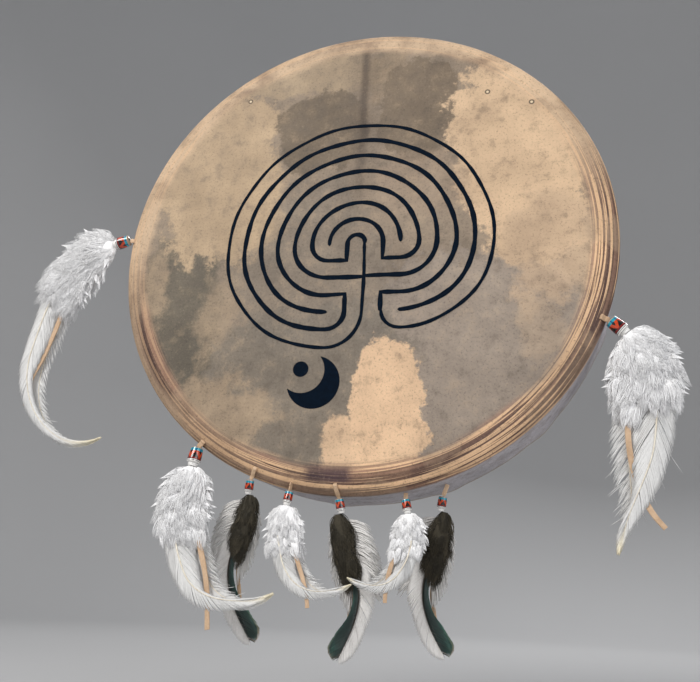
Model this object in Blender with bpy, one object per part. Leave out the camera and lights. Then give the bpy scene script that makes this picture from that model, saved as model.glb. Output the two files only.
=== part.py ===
"""A laced frame drum with eight beaded feather pendants.

The head is one rawhide skin over a wooden hoop, folded over the back edge and laced to a
wrapped cross grip. Metres, +Z up. The drum stands upright as it hangs: its painted face
looks along -Y, and the origin is the centre of the hand grip at its back.
"""
import math

import bmesh
import bpy
from mathutils import Vector

# Drum
RIM_R = 0.2032            # outside of the hide: a 16 inch drum
DEPTH = 0.0635            # face to back edge: 2.5 inches
BACK_Y = 0.0135           # back edge, so that the grip sits inside it
FRONT_Y = BACK_Y - DEPTH
HIDE_T = 0.0012
GAP = 0.0003              # clearance between touching pieces
SHOULDER_W = 0.0189       # rounded front corner: across the face
SHOULDER_D = 0.0085       # rounded front corner: back along the side
BACK_ROUND = 0.0040
HOOP_WALL = 0.0175
LIP_R = 0.1700            # inner edge of the skin folded over the back
ROUND_SEGMENTS = 60

# Lacing and grip
LACE_COUNT = 15
LACE_FIRST_DEG = 2.5
LACE_R = 0.0016
LACE_HOLE_R = 0.0026
LACE_HOLE_AT = 0.1765
LACE_PUNCH = 0.006        # depth of the cut for a lace hole
BUNDLE_ACROSS = 0.0023    # how far the runs lie apart where they meet at a grip arm
BUNDLE_RISE = 0.0021
# Where a run leaves the arm: distance from its end, share of the spread
BUNDLE_STATIONS = ((GAP, 1.0), (0.004, 1.0), (0.009, 1.15))
# Where a run turns into its hole: distance inward of the hole, distance in front of the back edge
HOLE_STATIONS = ((0.012, 0.0072), (0.0045, 0.0064), (0.0012, 0.0045), (0.0, 0.0024), (0.0, GAP))
GRIP_ARM = 0.082
GRIP_R = 0.0075
HUB_R = 0.0155
HUB_HALF = 0.0098
GRIP_SIDES = 16
ARM_DEGS = (0, 90, 180, 270)

# Thongs, beads and feathers
THONG_T = 0.0012
THONG_SHORT = 0.0013         # how far above its bead's mouth a thong ends, so that the bead can tilt
BEAD_SIDES = 16
BEAD_SIZES = {                # length, radius at the mouth, radius at the foot, bore radius
    "large": (0.0120, 0.0046, 0.0054, 0.0020),
    "small": (0.0085, 0.0030, 0.0034, 0.0013),
}
EASED = 0.07                  # share of a bead's length that its rounded ends take
CUFF_SHARE = 0.95             # the cuff of the quills, as a share of the bead's foot
CUFF_TAPER = 0.9
THONG_W = {"large": 0.0042, "small": 0.0032}
CUFF_L = {"large": 0.0030, "small": 0.0020}
TAIL_R = {"large": 0.0021, "small": 0.0016}
BLADE_HALF_T = 0.0009
TAIL_AHEAD = {"white": 0.0040, "dark": -0.0034}   # the tail hangs in front of white feathers, behind dark

# Down: share of its length, share of its half width, share of its half thickness
DOWN_STATIONS = ((0.16, 0.50, 0.70), (0.34, 0.86, 1.0), (0.52, 1.0, 1.0), (0.76, 0.84, 0.85),
                 (1.0, 0.52, 0.62))
# Blades: share of the length, share of the half width
HACKLE_STATIONS = ((0.0, 1.0), (0.14, 1.0), (0.28, 0.84), (0.42, 0.66), (0.56, 0.50), (0.70, 0.36),
                   (0.84, 0.24), (0.94, 0.13), (1.0, 0.04))
SICKLE_STATIONS = ((0.0, 0.84), (0.15, 0.86), (0.3, 0.88), (0.45, 0.94), (0.6, 1.0), (0.75, 1.0),
                   (0.87, 0.84), (0.95, 0.55), (1.0, 0.18))

# Each pendant: the angle round the rim and the radius where its thong leaves the hide, then the
# same for its bead's mouth; how far behind the face it hangs, its lean towards the listener, and
# its lines. A line is a length and the headings that it turns through, in degrees from straight
# down towards +X.
PENDANTS = {
    "left": dict(
        kind="white", size="large", leaves=(176.0, 0.1992), mouth=(175.6, 0.2052), behind=0.004, lean=0,
        bead=-76, down=(0.078, (-77, -45, -25, -10)), down_half=(0.0280, 0.0090),
        blade=(0.166, (-4, -11, 22, 60, 118)), blade_half=0.0150,
        tail=(0.088, (-20, -16, -24, 10)), tail_aside=0.009),
    "right": dict(
        kind="white", size="large", leaves=(-21.3, 0.1985), mouth=(-21.4, 0.2057), behind=0.004, lean=0,
        bead=46, down=(0.062, (42, 6, -5, -8)), down_half=(0.0290, 0.0090),
        blade=(0.096, (0, -11, -12, -20, -14)), blade_half=0.0200,
        tail=(0.081, (-8, 5, 18, 43)), tail_aside=-0.010),
    "low_left": dict(
        kind="white", size="large", leaves=(-124.9, 0.1988), mouth=(-125.1, 0.2056), behind=0.003, lean=8,
        bead=-7, down=(0.058, (-7, -3, 14, 24)), down_half=(0.0240, 0.0080),
        blade=(0.092, (30, 32, 66, 92, 124)), blade_half=0.0160,
        tail=(0.066, (27, 21, 11, 9)), tail_aside=0.010),
    "first_dark": dict(
        kind="dark", size="small", leaves=(-110.5, 0.1956), mouth=(-110.9, 0.2056), behind=0.005, lean=-6,
        bead=-7, down=(0.044, (-8, -12, -14, -18)), down_half=(0.0175, 0.0060),
        blade=(0.068, (-4, 12, 30, 34)), blade_half=0.0095,
        tail=(0.031, (6, 8, 10)), tail_aside=0.006),
    "low_middle_left": dict(
        kind="white", size="small", leaves=(-101.6, 0.1985), mouth=(-101.6, 0.2046), behind=0.003, lean=8,
        bead=-7, down=(0.038, (-4, 4, 16, 24)), down_half=(0.0165, 0.0065),
        blade=(0.058, (14, 48, 92, 124)), blade_half=0.0105,
        tail=(0.038, (27, 24, 18, 8)), tail_aside=0.006),
    "second_dark": dict(
        kind="dark", size="small", leaves=(-91.9, 0.1948), mouth=(-91.1, 0.2048), behind=0.006, lean=-6,
        bead=12, down=(0.048, (10, 13, 15, 18)), down_half=(0.0175, 0.0060),
        blade=(0.058, (5, -12, -25, -28)), blade_half=0.0095,
        tail=(0.031, (-5, -8, -10)), tail_aside=-0.006),
    "low_middle_right": dict(
        kind="white", size="small", leaves=(-77.5, 0.2043), mouth=(-77.8, 0.2085), behind=0.012, lean=8,
        bead=12, down=(0.033, (6, 2, -10, -20)), down_half=(0.0145, 0.0060),
        blade=(0.047, (-8, -50, -95, -119)), blade_half=0.0095,
        tail=(0.031, (-23, -9, 2)), tail_aside=-0.005),
    "third_dark": dict(
        kind="dark", size="small", leaves=(-69.2, 0.2044), mouth=(-70.8, 0.2112), behind=0.026, lean=-6,
        bead=-10, down=(0.047, (-9, -12, -14, -18)), down_half=(0.0175, 0.0060),
        blade=(0.059, (-5, 10, 26, 34)), blade_half=0.0095,
        tail=(0.031, (5, 8, 10)), tail_aside=0.006),
}

# Colour, roughness
FINISHES = {
    "rawhide": ((0.62, 0.50, 0.36), 0.55),
    "hoop_wood": ((0.45, 0.27, 0.14), 0.60),
    "rawhide_lace": ((0.66, 0.55, 0.38), 0.60),
    "grip_leather": ((0.34, 0.19, 0.10), 0.70),
    "thong_leather": ((0.72, 0.50, 0.33), 0.75),
    "bead_glaze": ((0.55, 0.08, 0.03), 0.20),
    "white_down": ((0.90, 0.89, 0.87), 0.90),
    "white_hackle": ((0.92, 0.91, 0.86), 0.60),
    "dark_down": ((0.06, 0.05, 0.03), 0.90),
    "dark_hackle": ((0.03, 0.10, 0.08), 0.40),
}


def clear_scene():
    for old in list(bpy.data.objects):
        bpy.data.objects.remove(old, do_unlink=True)


def finish(name):
    """The named finish as a material, made once."""
    if name in bpy.data.materials:
        return bpy.data.materials[name]
    colour, roughness = FINISHES[name]
    material = bpy.data.materials.new(name)
    material.use_nodes = True
    shader = material.node_tree.nodes["Principled BSDF"]
    shader.inputs["Base Color"].default_value = (*colour, 1.0)
    shader.inputs["Roughness"].default_value = roughness
    shader.inputs["Metallic"].default_value = 0.0
    return material


def place(name, data, finish_name, origin=(0.0, 0.0, 0.0)):
    """An object whose data is given in world coordinates and whose origin is where it turns."""
    obj = bpy.data.objects.new(name, data)
    bpy.context.scene.collection.objects.link(obj)
    data.materials.append(finish(finish_name))
    if any(origin):
        shift = Vector(origin)
        if obj.type == "MESH":
            for vertex in data.vertices:
                vertex.co -= shift
        else:
            for point in data.splines[0].points:
                point.co = (*(Vector(point.co[:3]) - shift), 1.0)
        obj.location = shift
    return obj


def mesh_from(bm, name, sharp_deg=35):
    bmesh.ops.recalc_face_normals(bm, faces=bm.faces)
    mesh = bpy.data.meshes.new(name)
    bm.to_mesh(mesh)
    bm.free()
    mesh.shade_smooth()
    mesh.set_sharp_from_angle(angle=math.radians(sharp_deg))
    return mesh


def turned(name, profile, segments):
    """A closed profile of (radius, y) points, spun about the Y axis."""
    bm = bmesh.new()
    ring = [bm.verts.new((radius, y, 0.0)) for radius, y in profile]
    edges = [bm.edges.new(pair) for pair in zip(ring, ring[1:])]
    if profile[0][0] > 0.0:
        edges.append(bm.edges.new((ring[-1], ring[0])))
    bmesh.ops.spin(bm, geom=ring + edges, cent=(0, 0, 0), axis=(0, 1, 0), angle=math.tau,
                   steps=segments, use_duplicate=False)
    bmesh.ops.remove_doubles(bm, verts=bm.verts, dist=0.00001)
    return mesh_from(bm, name)


def lofted(name, rings):
    """A closed skin over rings of the same number of points, with flat ends."""
    bm = bmesh.new()
    loops = [[bm.verts.new(point) for point in ring] for ring in rings]
    sides = len(loops[0])
    for lower, upper in zip(loops, loops[1:]):
        for i in range(sides):
            bm.faces.new((lower[i], lower[(i + 1) % sides], upper[(i + 1) % sides], upper[i]))
    bm.faces.new(loops[0])
    bm.faces.new(loops[-1])
    return mesh_from(bm, name)


def tube(name, points, radius):
    """A round cord along the points, with closed ends."""
    curve = bpy.data.curves.new(name, "CURVE")
    curve.dimensions = "3D"
    curve.bevel_depth = radius
    curve.bevel_resolution = 2
    curve.use_fill_caps = True
    curve.render_resolution_u = 0
    spline = curve.splines.new("POLY")
    spline.points.add(len(points) - 1)
    for slot, point in zip(spline.points, points):
        slot.co = (*point, 1.0)
    return curve


def cut(obj, cutters):
    """Leave the cutters' space out of the object."""
    for cutter in cutters:
        cutter.hide_render = True
        cutter.display_type = "WIRE"
        modifier = obj.modifiers.new(cutter.name, "BOOLEAN")
        modifier.operation = "DIFFERENCE"
        modifier.solver = "EXACT"
        modifier.object = cutter


def shoulder(inset, steps=5):
    """The rounded front corner, inset from the outside of the hide, as (radius, y) points."""
    points = []
    for i in range(steps + 1):
        turn = math.radians(90 * i / steps)
        radius = RIM_R - SHOULDER_W + (SHOULDER_W - inset) * math.sin(turn)
        points.append((radius, FRONT_Y + SHOULDER_D - (SHOULDER_D - inset) * math.cos(turn)))
    return points


def back_corner(inset, steps=3):
    """The rounded back corner, from the side to the back, as (radius, y) points."""
    points = []
    for i in range(steps + 1):
        turn = math.radians(90 * i / steps)
        reach = BACK_ROUND - inset
        points.append((RIM_R - BACK_ROUND + reach * math.cos(turn),
                       BACK_Y - BACK_ROUND + reach * math.sin(turn)))
    return points


def face_depth(radius):
    """How far behind the face plane the hide's outside lies at this radius."""
    across = (radius - (RIM_R - SHOULDER_W)) / SHOULDER_W
    across = min(max(across, 0.0), 1.0)
    return SHOULDER_D * (1.0 - math.sqrt(1.0 - across * across))


def polar(deg, radius, y):
    turn = math.radians(deg)
    return Vector((radius * math.cos(turn), y, radius * math.sin(turn)))


def lace_degs():
    return [LACE_FIRST_DEG + 360 * i / LACE_COUNT for i in range(LACE_COUNT)]


def make_hoop():
    inset = HIDE_T + GAP
    inner = RIM_R - inset - HOOP_WALL
    profile = shoulder(inset) + back_corner(inset) + [(inner, BACK_Y - inset), (inner, FRONT_Y + inset)]
    place("hoop", turned("hoop", profile, ROUND_SEGMENTS), "hoop_wood")


def make_head():
    outside = [(0.0, FRONT_Y)] + shoulder(0.0) + back_corner(0.0) + [(LIP_R, BACK_Y)]
    inside = [(LIP_R, BACK_Y - HIDE_T)] + back_corner(HIDE_T)[::-1] + shoulder(HIDE_T)[::-1]
    profile = outside + inside + [(0.0, FRONT_Y + HIDE_T)]
    head = place("drum_head", turned("drum_head", profile, ROUND_SEGMENTS), "rawhide")
    punches = bmesh.new()
    for deg in lace_degs():
        ring = bmesh.ops.create_cone(punches, cap_ends=True, segments=12, radius1=LACE_HOLE_R,
                                     radius2=LACE_HOLE_R, depth=LACE_PUNCH)["verts"]
        centre = polar(deg, LACE_HOLE_AT, BACK_Y)
        for vertex in ring:
            x, y, z = vertex.co
            vertex.co = centre + Vector((x, z, -y))
    cutter = place("lace_holes", mesh_from(punches, "lace_holes"), "rawhide")
    cut(head, [cutter])


def nearest_arm(deg):
    return min(ARM_DEGS, key=lambda arm: abs((deg - arm + 180) % 360 - 180))


def make_laces():
    """One run of lace from each hole in the folded skin to the end of the nearest grip arm."""
    for arm in ARM_DEGS:
        runs = sorted((deg for deg in lace_degs() if nearest_arm(deg) == arm),
                      key=lambda deg: (deg - arm + 180) % 360)
        last = len(runs) - 1
        for in_fan, deg in enumerate(runs):
            side = (2 * in_fan > last) - (2 * in_fan < last)
            height = -BUNDLE_RISE if in_fan in (0, last) else BUNDLE_RISE
            along = polar(arm, 1.0, 0.0)
            sideways = polar(arm + 90, 1.0, 0.0) * BUNDLE_ACROSS * side
            bundle = [along * (GRIP_ARM + reach) + sideways * spread + Vector((0, height, 0))
                      for reach, spread in BUNDLE_STATIONS]
            hole = [polar(deg, LACE_HOLE_AT - inward, BACK_Y - ahead) for inward, ahead in HOLE_STATIONS]
            middle = bundle[-1].lerp(hole[0], 0.5)
            name = "lace_run_%02d" % (lace_degs().index(deg) + 1)
            place(name, tube(name, bundle + [middle] + hole, LACE_R), "rawhide_lace")


def bar(name, direction, half_length, radius):
    """A plain round bar about the origin, for joining into the grip."""
    bm = bmesh.new()
    bmesh.ops.create_cone(bm, cap_ends=True, segments=GRIP_SIDES, radius1=radius, radius2=radius,
                          depth=2 * half_length)
    spin = Vector((0, 0, 1)).rotation_difference(Vector(direction)).to_matrix()
    bmesh.ops.rotate(bm, verts=bm.verts, cent=(0, 0, 0), matrix=spin)
    return mesh_from(bm, name)


def make_grip():
    """The leather-wrapped cross where the lace runs meet."""
    grip = place("hand_grip", bar("hand_grip", (0, 0, 1), GRIP_ARM, GRIP_R), "grip_leather")
    others = [("grip_cross_bar", (1, 0, 0), GRIP_ARM, GRIP_R * 1.002),
              ("grip_crossing", (0, 1, 0), HUB_HALF, HUB_R)]
    for name, direction, half_length, radius in others:
        piece = place(name, bar(name, direction, half_length, radius), "grip_leather")
        piece.hide_render = True
        piece.display_type = "WIRE"
        join = grip.modifiers.new(name, "BOOLEAN")
        join.operation = "UNION"
        join.solver = "EXACT"
        join.object = piece


class Pendant:
    """The leaning plane that one pendant hangs in: across, down and towards the listener."""

    def __init__(self, name, spec):
        self.name = name
        self.spec = spec
        self.size = spec["size"]
        lean = math.radians(spec["lean"])
        self.y = FRONT_Y + spec["behind"]
        self.mouth = polar(*spec["mouth"], self.y)
        self.across = Vector((1, 0, 0))
        self.down = Vector((0, -math.sin(lean), -math.cos(lean)))
        self.ahead = Vector((0, -math.cos(lean), math.sin(lean)))

    def at(self, across, down, ahead=0.0):
        return self.mouth + self.across * across + self.down * down + self.ahead * ahead

    def line(self, start, length, headings, steps):
        """(across, down, heading) stations along a line that turns evenly through its headings."""
        stations = []
        across, down = start
        spans = len(headings) - 1
        fine = 8
        for i in range(steps * fine + 1):
            share = i / (steps * fine)
            span = min(int(share * spans), spans - 1)
            blend = share * spans - span
            heading = math.radians(headings[span] + (headings[span + 1] - headings[span]) * blend)
            if i % fine == 0:
                stations.append((across, down, heading))
            across += math.sin(heading) * length / (steps * fine)
            down += math.cos(heading) * length / (steps * fine)
        return stations

    def section(self, station, half_width, half_thickness, sides, ahead=0.0):
        """An oval ring across a line at one of its stations."""
        across, down, heading = station
        ring = []
        for i in range(sides):
            turn = math.tau * i / sides
            aside = half_width * math.cos(turn)
            ring.append(self.at(across + math.cos(heading) * aside, down - math.sin(heading) * aside,
                                ahead + half_thickness * math.sin(turn)))
        return ring

    def bead_end(self, extra=0.0):
        turn = math.radians(self.spec["bead"])
        reach = BEAD_SIZES[self.size][0] + extra
        return math.sin(turn) * reach, math.cos(turn) * reach


def station_at(stations, share):
    place_in_line = share * (len(stations) - 1)
    index = min(int(place_in_line), len(stations) - 2)
    blend = place_in_line - index
    return tuple(a + (b - a) * blend for a, b in zip(stations[index], stations[index + 1]))


def make_thong(pendant):
    """The flat strip from its hole in the hide to the bead's mouth."""
    spec = pendant.spec
    turn = math.radians(spec["bead"])
    into_bead = Vector((math.sin(turn), 0.0, -math.cos(turn)))
    hole = polar(*spec["leaves"], 0.0)
    mouth = polar(*spec["mouth"], 0.0) - into_bead * THONG_SHORT
    clearance = GAP + THONG_T / 2
    on_side = spec["leaves"][1] > RIM_R
    centres = []
    for share in (0.0, 0.35, 0.7, 1.0):
        point = hole.lerp(mouth, share)
        point.y = pendant.y
        if not on_side and share < 1.0:
            radius = math.hypot(point.x, point.z)
            point.y = min(FRONT_Y + face_depth(radius) - clearance * 1.5, pendant.y)
        centres.append(point)
    half_width = THONG_W[pendant.size] / 2
    rings = []
    for index, centre in enumerate(centres):
        before = centres[max(index - 1, 0)]
        after = centres[min(index + 1, len(centres) - 1)]
        axis = into_bead if index == len(centres) - 1 else (after - before).normalized()
        edge = Vector((0, 1, 0)).cross(axis).normalized() * half_width
        face = edge.cross(axis).normalized() * THONG_T / 2
        rings.append([centre + edge + face, centre - edge + face,
                      centre - edge - face, centre + edge - face])
    name = pendant.name + "_thong"
    place(name, lofted(name, rings), "thong_leather", centres[0])


def make_bead(pendant):
    """A short tapered bead with a bore, its lower end against the down's cuff."""
    length, mouth_r, foot_r, bore_r = BEAD_SIZES[pendant.size]
    turn = math.radians(pendant.spec["bead"])
    end_r = mouth_r - length * EASED
    profile = [(0.0, bore_r), (0.0, end_r), (EASED, mouth_r), (1.0 - EASED, foot_r),
               (1.0, foot_r * CUFF_SHARE), (1.0, bore_r)]
    bm = bmesh.new()
    loops = []
    for share, radius in profile:
        station = (math.sin(turn) * length * share, math.cos(turn) * length * share, turn)
        loops.append([bm.verts.new(point) for point in pendant.section(station, radius, radius, BEAD_SIDES)])
    for lower, upper in zip(loops, loops[1:] + loops[:1]):
        for i in range(BEAD_SIDES):
            bm.faces.new((lower[i], lower[(i + 1) % BEAD_SIDES], upper[(i + 1) % BEAD_SIDES], upper[i]))
    name = pendant.name + "_bead"
    place(name, mesh_from(bm, name), "bead_glaze", pendant.mouth)


def make_down(pendant):
    """The bound cuff of the quills and the bundle of down below it. Returns where the down ends."""
    half_width, half_thickness = pendant.spec["down_half"]
    length, headings = pendant.spec["down"]
    cuff_r = BEAD_SIZES[pendant.size][2] * CUFF_SHARE
    cuff_length = CUFF_L[pendant.size]
    turn = math.radians(pendant.spec["bead"])
    start = pendant.bead_end(GAP)
    below_cuff = pendant.bead_end(GAP + cuff_length)
    rings = [pendant.section((*start, turn), cuff_r, cuff_r, 12),
             pendant.section((*below_cuff, turn), cuff_r * CUFF_TAPER, cuff_r * CUFF_TAPER, 12)]
    stations = pendant.line(below_cuff, length, headings, 12)
    for share, wide, thick in DOWN_STATIONS:
        rings.append(pendant.section(station_at(stations, share), half_width * wide,
                                     half_thickness * thick, 12))
    name = pendant.name + "_down"
    place(name, lofted(name, rings), pendant.spec["kind"] + "_down", pendant.mouth)
    return stations[-1]


def make_blade(pendant, end):
    """The long feathers below the down, as one thin curved blade."""
    length, headings = pendant.spec["blade"]
    across, down, heading = end
    start = (across + math.sin(heading) * GAP, down + math.cos(heading) * GAP)
    outline = HACKLE_STATIONS if pendant.spec["kind"] == "white" else SICKLE_STATIONS
    headings = (math.degrees(heading),) + tuple(headings[1:])
    stations = pendant.line(start, length, headings, 24)
    rings = []
    for share, wide in outline:
        half_thickness = BLADE_HALF_T * (0.5 + 0.5 * wide)
        rings.append(pendant.section(station_at(stations, share), pendant.spec["blade_half"] * wide,
                                     half_thickness, 6))
    name = pendant.name + "_feathers"
    place(name, lofted(name, rings), pendant.spec["kind"] + "_hackle", pendant.mouth)


def make_tail(pendant, end):
    """The thong's free end, which comes out below the down and hangs along the feathers."""
    length, headings = pendant.spec["tail"]
    across, down, heading = end
    aside = pendant.spec["tail_aside"]
    reach = GAP * 2
    start = (across + math.cos(heading) * aside + math.sin(heading) * reach,
             down - math.sin(heading) * aside + math.cos(heading) * reach)
    headings = (math.degrees(heading),) + tuple(headings[1:])
    stations = pendant.line(start, length, headings, 10)
    ahead = TAIL_AHEAD[pendant.spec["kind"]]
    points = [pendant.at(x, z, ahead) for x, z, _ in stations]
    name = pendant.name + "_thong_tail"
    place(name, tube(name, points, TAIL_R[pendant.size]), "thong_leather", pendant.mouth)


clear_scene()
make_hoop()
make_head()
make_laces()
make_grip()
for pendant_name, pendant_spec in PENDANTS.items():
    pendant = Pendant(pendant_name, pendant_spec)
    make_thong(pendant)
    make_bead(pendant)
    down_end = make_down(pendant)
    make_blade(pendant, down_end)
    make_tail(pendant, down_end)
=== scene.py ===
import math
import random

import bmesh
import bpy
from mathutils import Matrix, Vector


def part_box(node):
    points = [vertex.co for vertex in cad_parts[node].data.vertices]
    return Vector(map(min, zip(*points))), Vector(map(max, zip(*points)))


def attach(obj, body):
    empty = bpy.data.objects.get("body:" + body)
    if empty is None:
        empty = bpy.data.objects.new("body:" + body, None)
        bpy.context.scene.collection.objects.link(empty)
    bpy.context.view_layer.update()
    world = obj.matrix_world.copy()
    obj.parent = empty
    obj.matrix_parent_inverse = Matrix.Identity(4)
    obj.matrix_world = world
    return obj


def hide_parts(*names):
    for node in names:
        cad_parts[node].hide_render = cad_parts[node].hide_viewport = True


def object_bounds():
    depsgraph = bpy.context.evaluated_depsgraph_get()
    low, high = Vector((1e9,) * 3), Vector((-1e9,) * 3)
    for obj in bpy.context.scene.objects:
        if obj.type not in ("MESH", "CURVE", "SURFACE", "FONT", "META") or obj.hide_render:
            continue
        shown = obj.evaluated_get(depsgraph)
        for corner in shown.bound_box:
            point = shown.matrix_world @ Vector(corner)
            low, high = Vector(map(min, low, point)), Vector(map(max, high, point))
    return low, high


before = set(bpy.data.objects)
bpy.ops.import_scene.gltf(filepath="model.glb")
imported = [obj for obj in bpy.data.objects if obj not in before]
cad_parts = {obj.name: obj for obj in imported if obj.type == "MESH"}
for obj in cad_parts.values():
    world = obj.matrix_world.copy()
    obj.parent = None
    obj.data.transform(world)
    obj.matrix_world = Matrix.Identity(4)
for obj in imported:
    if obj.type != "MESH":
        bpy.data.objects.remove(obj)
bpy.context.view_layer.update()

# ---------------------------------------------------------------- sizes, in metres, as in the part
HEAD_LOW, HEAD_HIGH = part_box("drum_head")
RIM_R = (HEAD_HIGH[0] - HEAD_LOW[0]) / 2
FRONT_Y = HEAD_LOW[1]
BACK_Y = HEAD_HIGH[1]
HIDE_T = 0.0012
GAP = 0.0003                 # between neighbouring solids
SHOULDER_W = 0.0189          # the hide's turn from the face to the side: across, and back
SHOULDER_D = 0.0085
BACK_ROUND = 0.0040
LIP_R = 0.1700
LIP_SCALLOP = 0.0045
LACE_COUNT = 15
LACE_FIRST_DEG = 2.5
LACE_HOLE_R = 0.0026
LACE_HOLE_AT = 0.1765        # radius of the ring of holes
BUNDLE_ACROSS = 0.0023
BUNDLE_RISE = 0.0021
# Where a lace leaves its arm: distance past the arm's end, share of BUNDLE_ACROSS
BUNDLE_STATIONS = ((GAP, 1.0), (0.004, 1.0), (0.009, 1.15))
# Where it comes up to its hole: distance inside the hole's radius, distance ahead of the back
HOLE_STATIONS = ((0.012, 0.0072), (0.0045, 0.0064), (0.0012, 0.0045), (0.0, 0.0024), (0.0, GAP))
GRIP_ARM = 0.082
GRIP_R = 0.0075
HUB_HALF = 0.0098
ARM_DEGS = (0, 90, 180, 270)
# A bead's length, and its radii at the mouth, at the foot and of the bore
BEAD_SIZES = {"large": (0.0120, 0.0046, 0.0054, 0.0020), "small": (0.0085, 0.0030, 0.0034, 0.0013)}
THONG_W = {"large": 0.0042, "small": 0.0032}
THONG_T = 0.0012
CUFF_L = {"large": 0.0030, "small": 0.0020}
# A tail's place ahead of its pendant's middle plane
TAIL_AHEAD = {"white": 0.0040, "dark": -0.0034}
# A white feather's half width along its length, as shares
HACKLE_STATIONS = ((0.0, 1.0), (0.14, 1.0), (0.28, 0.84), (0.42, 0.66), (0.56, 0.50), (0.70, 0.36),
                   (0.84, 0.24), (0.94, 0.13), (1.0, 0.04))

# Each pendant, as in the part: the angle round the rim and the radius where its thong leaves the
# hide and where its bead's mouth is, how far behind the face it hangs, its lean towards the
# listener, and its lines. A line is a length and the headings that it turns through, in degrees
# from straight down towards +X.
PENDANTS = {
    "left": dict(
        kind="white", size="large", leaves=(176.0, 0.1992), mouth=(175.6, 0.2052), behind=0.004, lean=0,
        bead=-76, down=(0.078, (-77, -45, -25, -10)), down_half=(0.0280, 0.0090),
        blade=(0.166, (-4, -11, 22, 60, 118)), blade_half=0.0150,
        tail=(0.088, (-20, -16, -24, 10)), tail_aside=0.009),
    "right": dict(
        kind="white", size="large", leaves=(-21.3, 0.1985), mouth=(-21.4, 0.2057), behind=0.004, lean=0,
        bead=46, down=(0.062, (42, 6, -5, -8)), down_half=(0.0290, 0.0090),
        blade=(0.096, (0, -11, -12, -20, -14)), blade_half=0.0200,
        tail=(0.081, (-8, 5, 18, 43)), tail_aside=-0.010),
    "low_left": dict(
        kind="white", size="large", leaves=(-124.9, 0.1988), mouth=(-125.1, 0.2056), behind=0.003, lean=8,
        bead=-7, down=(0.058, (-7, -3, 14, 24)), down_half=(0.0240, 0.0080),
        blade=(0.092, (30, 32, 66, 92, 124)), blade_half=0.0160,
        tail=(0.066, (27, 21, 11, 9)), tail_aside=0.010),
    "first_dark": dict(
        kind="dark", size="small", leaves=(-110.5, 0.1956), mouth=(-110.9, 0.2056), behind=0.005, lean=-6,
        bead=-7, down=(0.044, (-8, -12, -14, -18)), down_half=(0.0175, 0.0060),
        blade=(0.068, (-4, 12, 30, 34)), blade_half=0.0095,
        tail=(0.031, (6, 8, 10)), tail_aside=0.006),
    "low_middle_left": dict(
        kind="white", size="small", leaves=(-101.6, 0.1985), mouth=(-101.6, 0.2046), behind=0.003, lean=8,
        bead=-7, down=(0.038, (-4, 4, 16, 24)), down_half=(0.0165, 0.0065),
        blade=(0.058, (14, 48, 92, 124)), blade_half=0.0105,
        tail=(0.038, (27, 24, 18, 8)), tail_aside=0.006),
    "second_dark": dict(
        kind="dark", size="small", leaves=(-91.9, 0.1948), mouth=(-91.1, 0.2048), behind=0.006, lean=-6,
        bead=12, down=(0.048, (10, 13, 15, 18)), down_half=(0.0175, 0.0060),
        blade=(0.058, (5, -12, -25, -28)), blade_half=0.0095,
        tail=(0.031, (-5, -8, -10)), tail_aside=-0.006),
    "low_middle_right": dict(
        kind="white", size="small", leaves=(-77.5, 0.2043), mouth=(-77.8, 0.2085), behind=0.012, lean=8,
        bead=12, down=(0.033, (6, 2, -10, -20)), down_half=(0.0145, 0.0060),
        blade=(0.047, (-8, -50, -95, -119)), blade_half=0.0095,
        tail=(0.031, (-23, -9, 2)), tail_aside=-0.005),
    "third_dark": dict(
        kind="dark", size="small", leaves=(-69.2, 0.2044), mouth=(-70.8, 0.2112), behind=0.026, lean=-6,
        bead=-10, down=(0.047, (-9, -12, -14, -18)), down_half=(0.0175, 0.0060),
        blade=(0.059, (-5, 10, 26, 34)), blade_half=0.0095,
        tail=(0.031, (5, 8, 10)), tail_aside=0.006),
}


# ---------------------------------------------------------------- small helpers
def polar(deg, radius, y):
    turn = math.radians(deg)
    return Vector((radius * math.cos(turn), y, radius * math.sin(turn)))


def smooth(low, high, value):
    share = min(max((value - low) / (high - low), 0.0), 1.0)
    return share * share * (3 - 2 * share)


def read_curve(stations, share):
    """The value at this share along a list of (share, value)."""
    for (a, low), (b, high) in zip(stations, stations[1:]):
        if share <= b:
            return low + (high - low) * (share - a) / (b - a)
    return stations[-1][1]


def spline_points(points, count):
    """Points evenly shared along a smooth curve through the given ones."""
    ends = [points[0] * 2 - points[1]] + list(points) + [points[-1] * 2 - points[-2]]
    made = []
    for i in range(count):
        place = i / (count - 1) * (len(points) - 1)
        k = min(int(place), len(points) - 2)
        t = place - k
        a, b, c, d = ends[k:k + 4]
        made.append(0.5 * ((2 * b) + (c - a) * t + (2 * a - 5 * b + 4 * c - d) * t * t
                           + (3 * b - a - 3 * c + d) * t * t * t))
    return made


def put_in_scene(name, data):
    obj = bpy.data.objects.new(name, data)
    bpy.context.scene.collection.objects.link(obj)
    return obj


def add_mesh(name, verts, faces, material, sharp_deg=40):
    mesh = bpy.data.meshes.new(name)
    mesh.from_pydata([tuple(v) for v in verts], [], faces)
    mesh.validate()
    bm = bmesh.new()
    bm.from_mesh(mesh)
    bmesh.ops.recalc_face_normals(bm, faces=bm.faces)
    bm.to_mesh(mesh)
    bm.free()
    mesh.shade_smooth()
    mesh.set_sharp_from_angle(angle=math.radians(sharp_deg))
    mesh.materials.append(material)
    return put_in_scene(name, mesh)


def tube_faces(rings, sides):
    """The skin between rings of points, with a cap at each end."""
    faces = []
    for i in range(rings - 1):
        for j in range(sides):
            k = (j + 1) % sides
            faces.append((i * sides + j, i * sides + k, (i + 1) * sides + k, (i + 1) * sides + j))
    faces.append(tuple(range(sides)))
    faces.append(tuple((rings - 1) * sides + j for j in range(sides))[::-1])
    return faces


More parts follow.
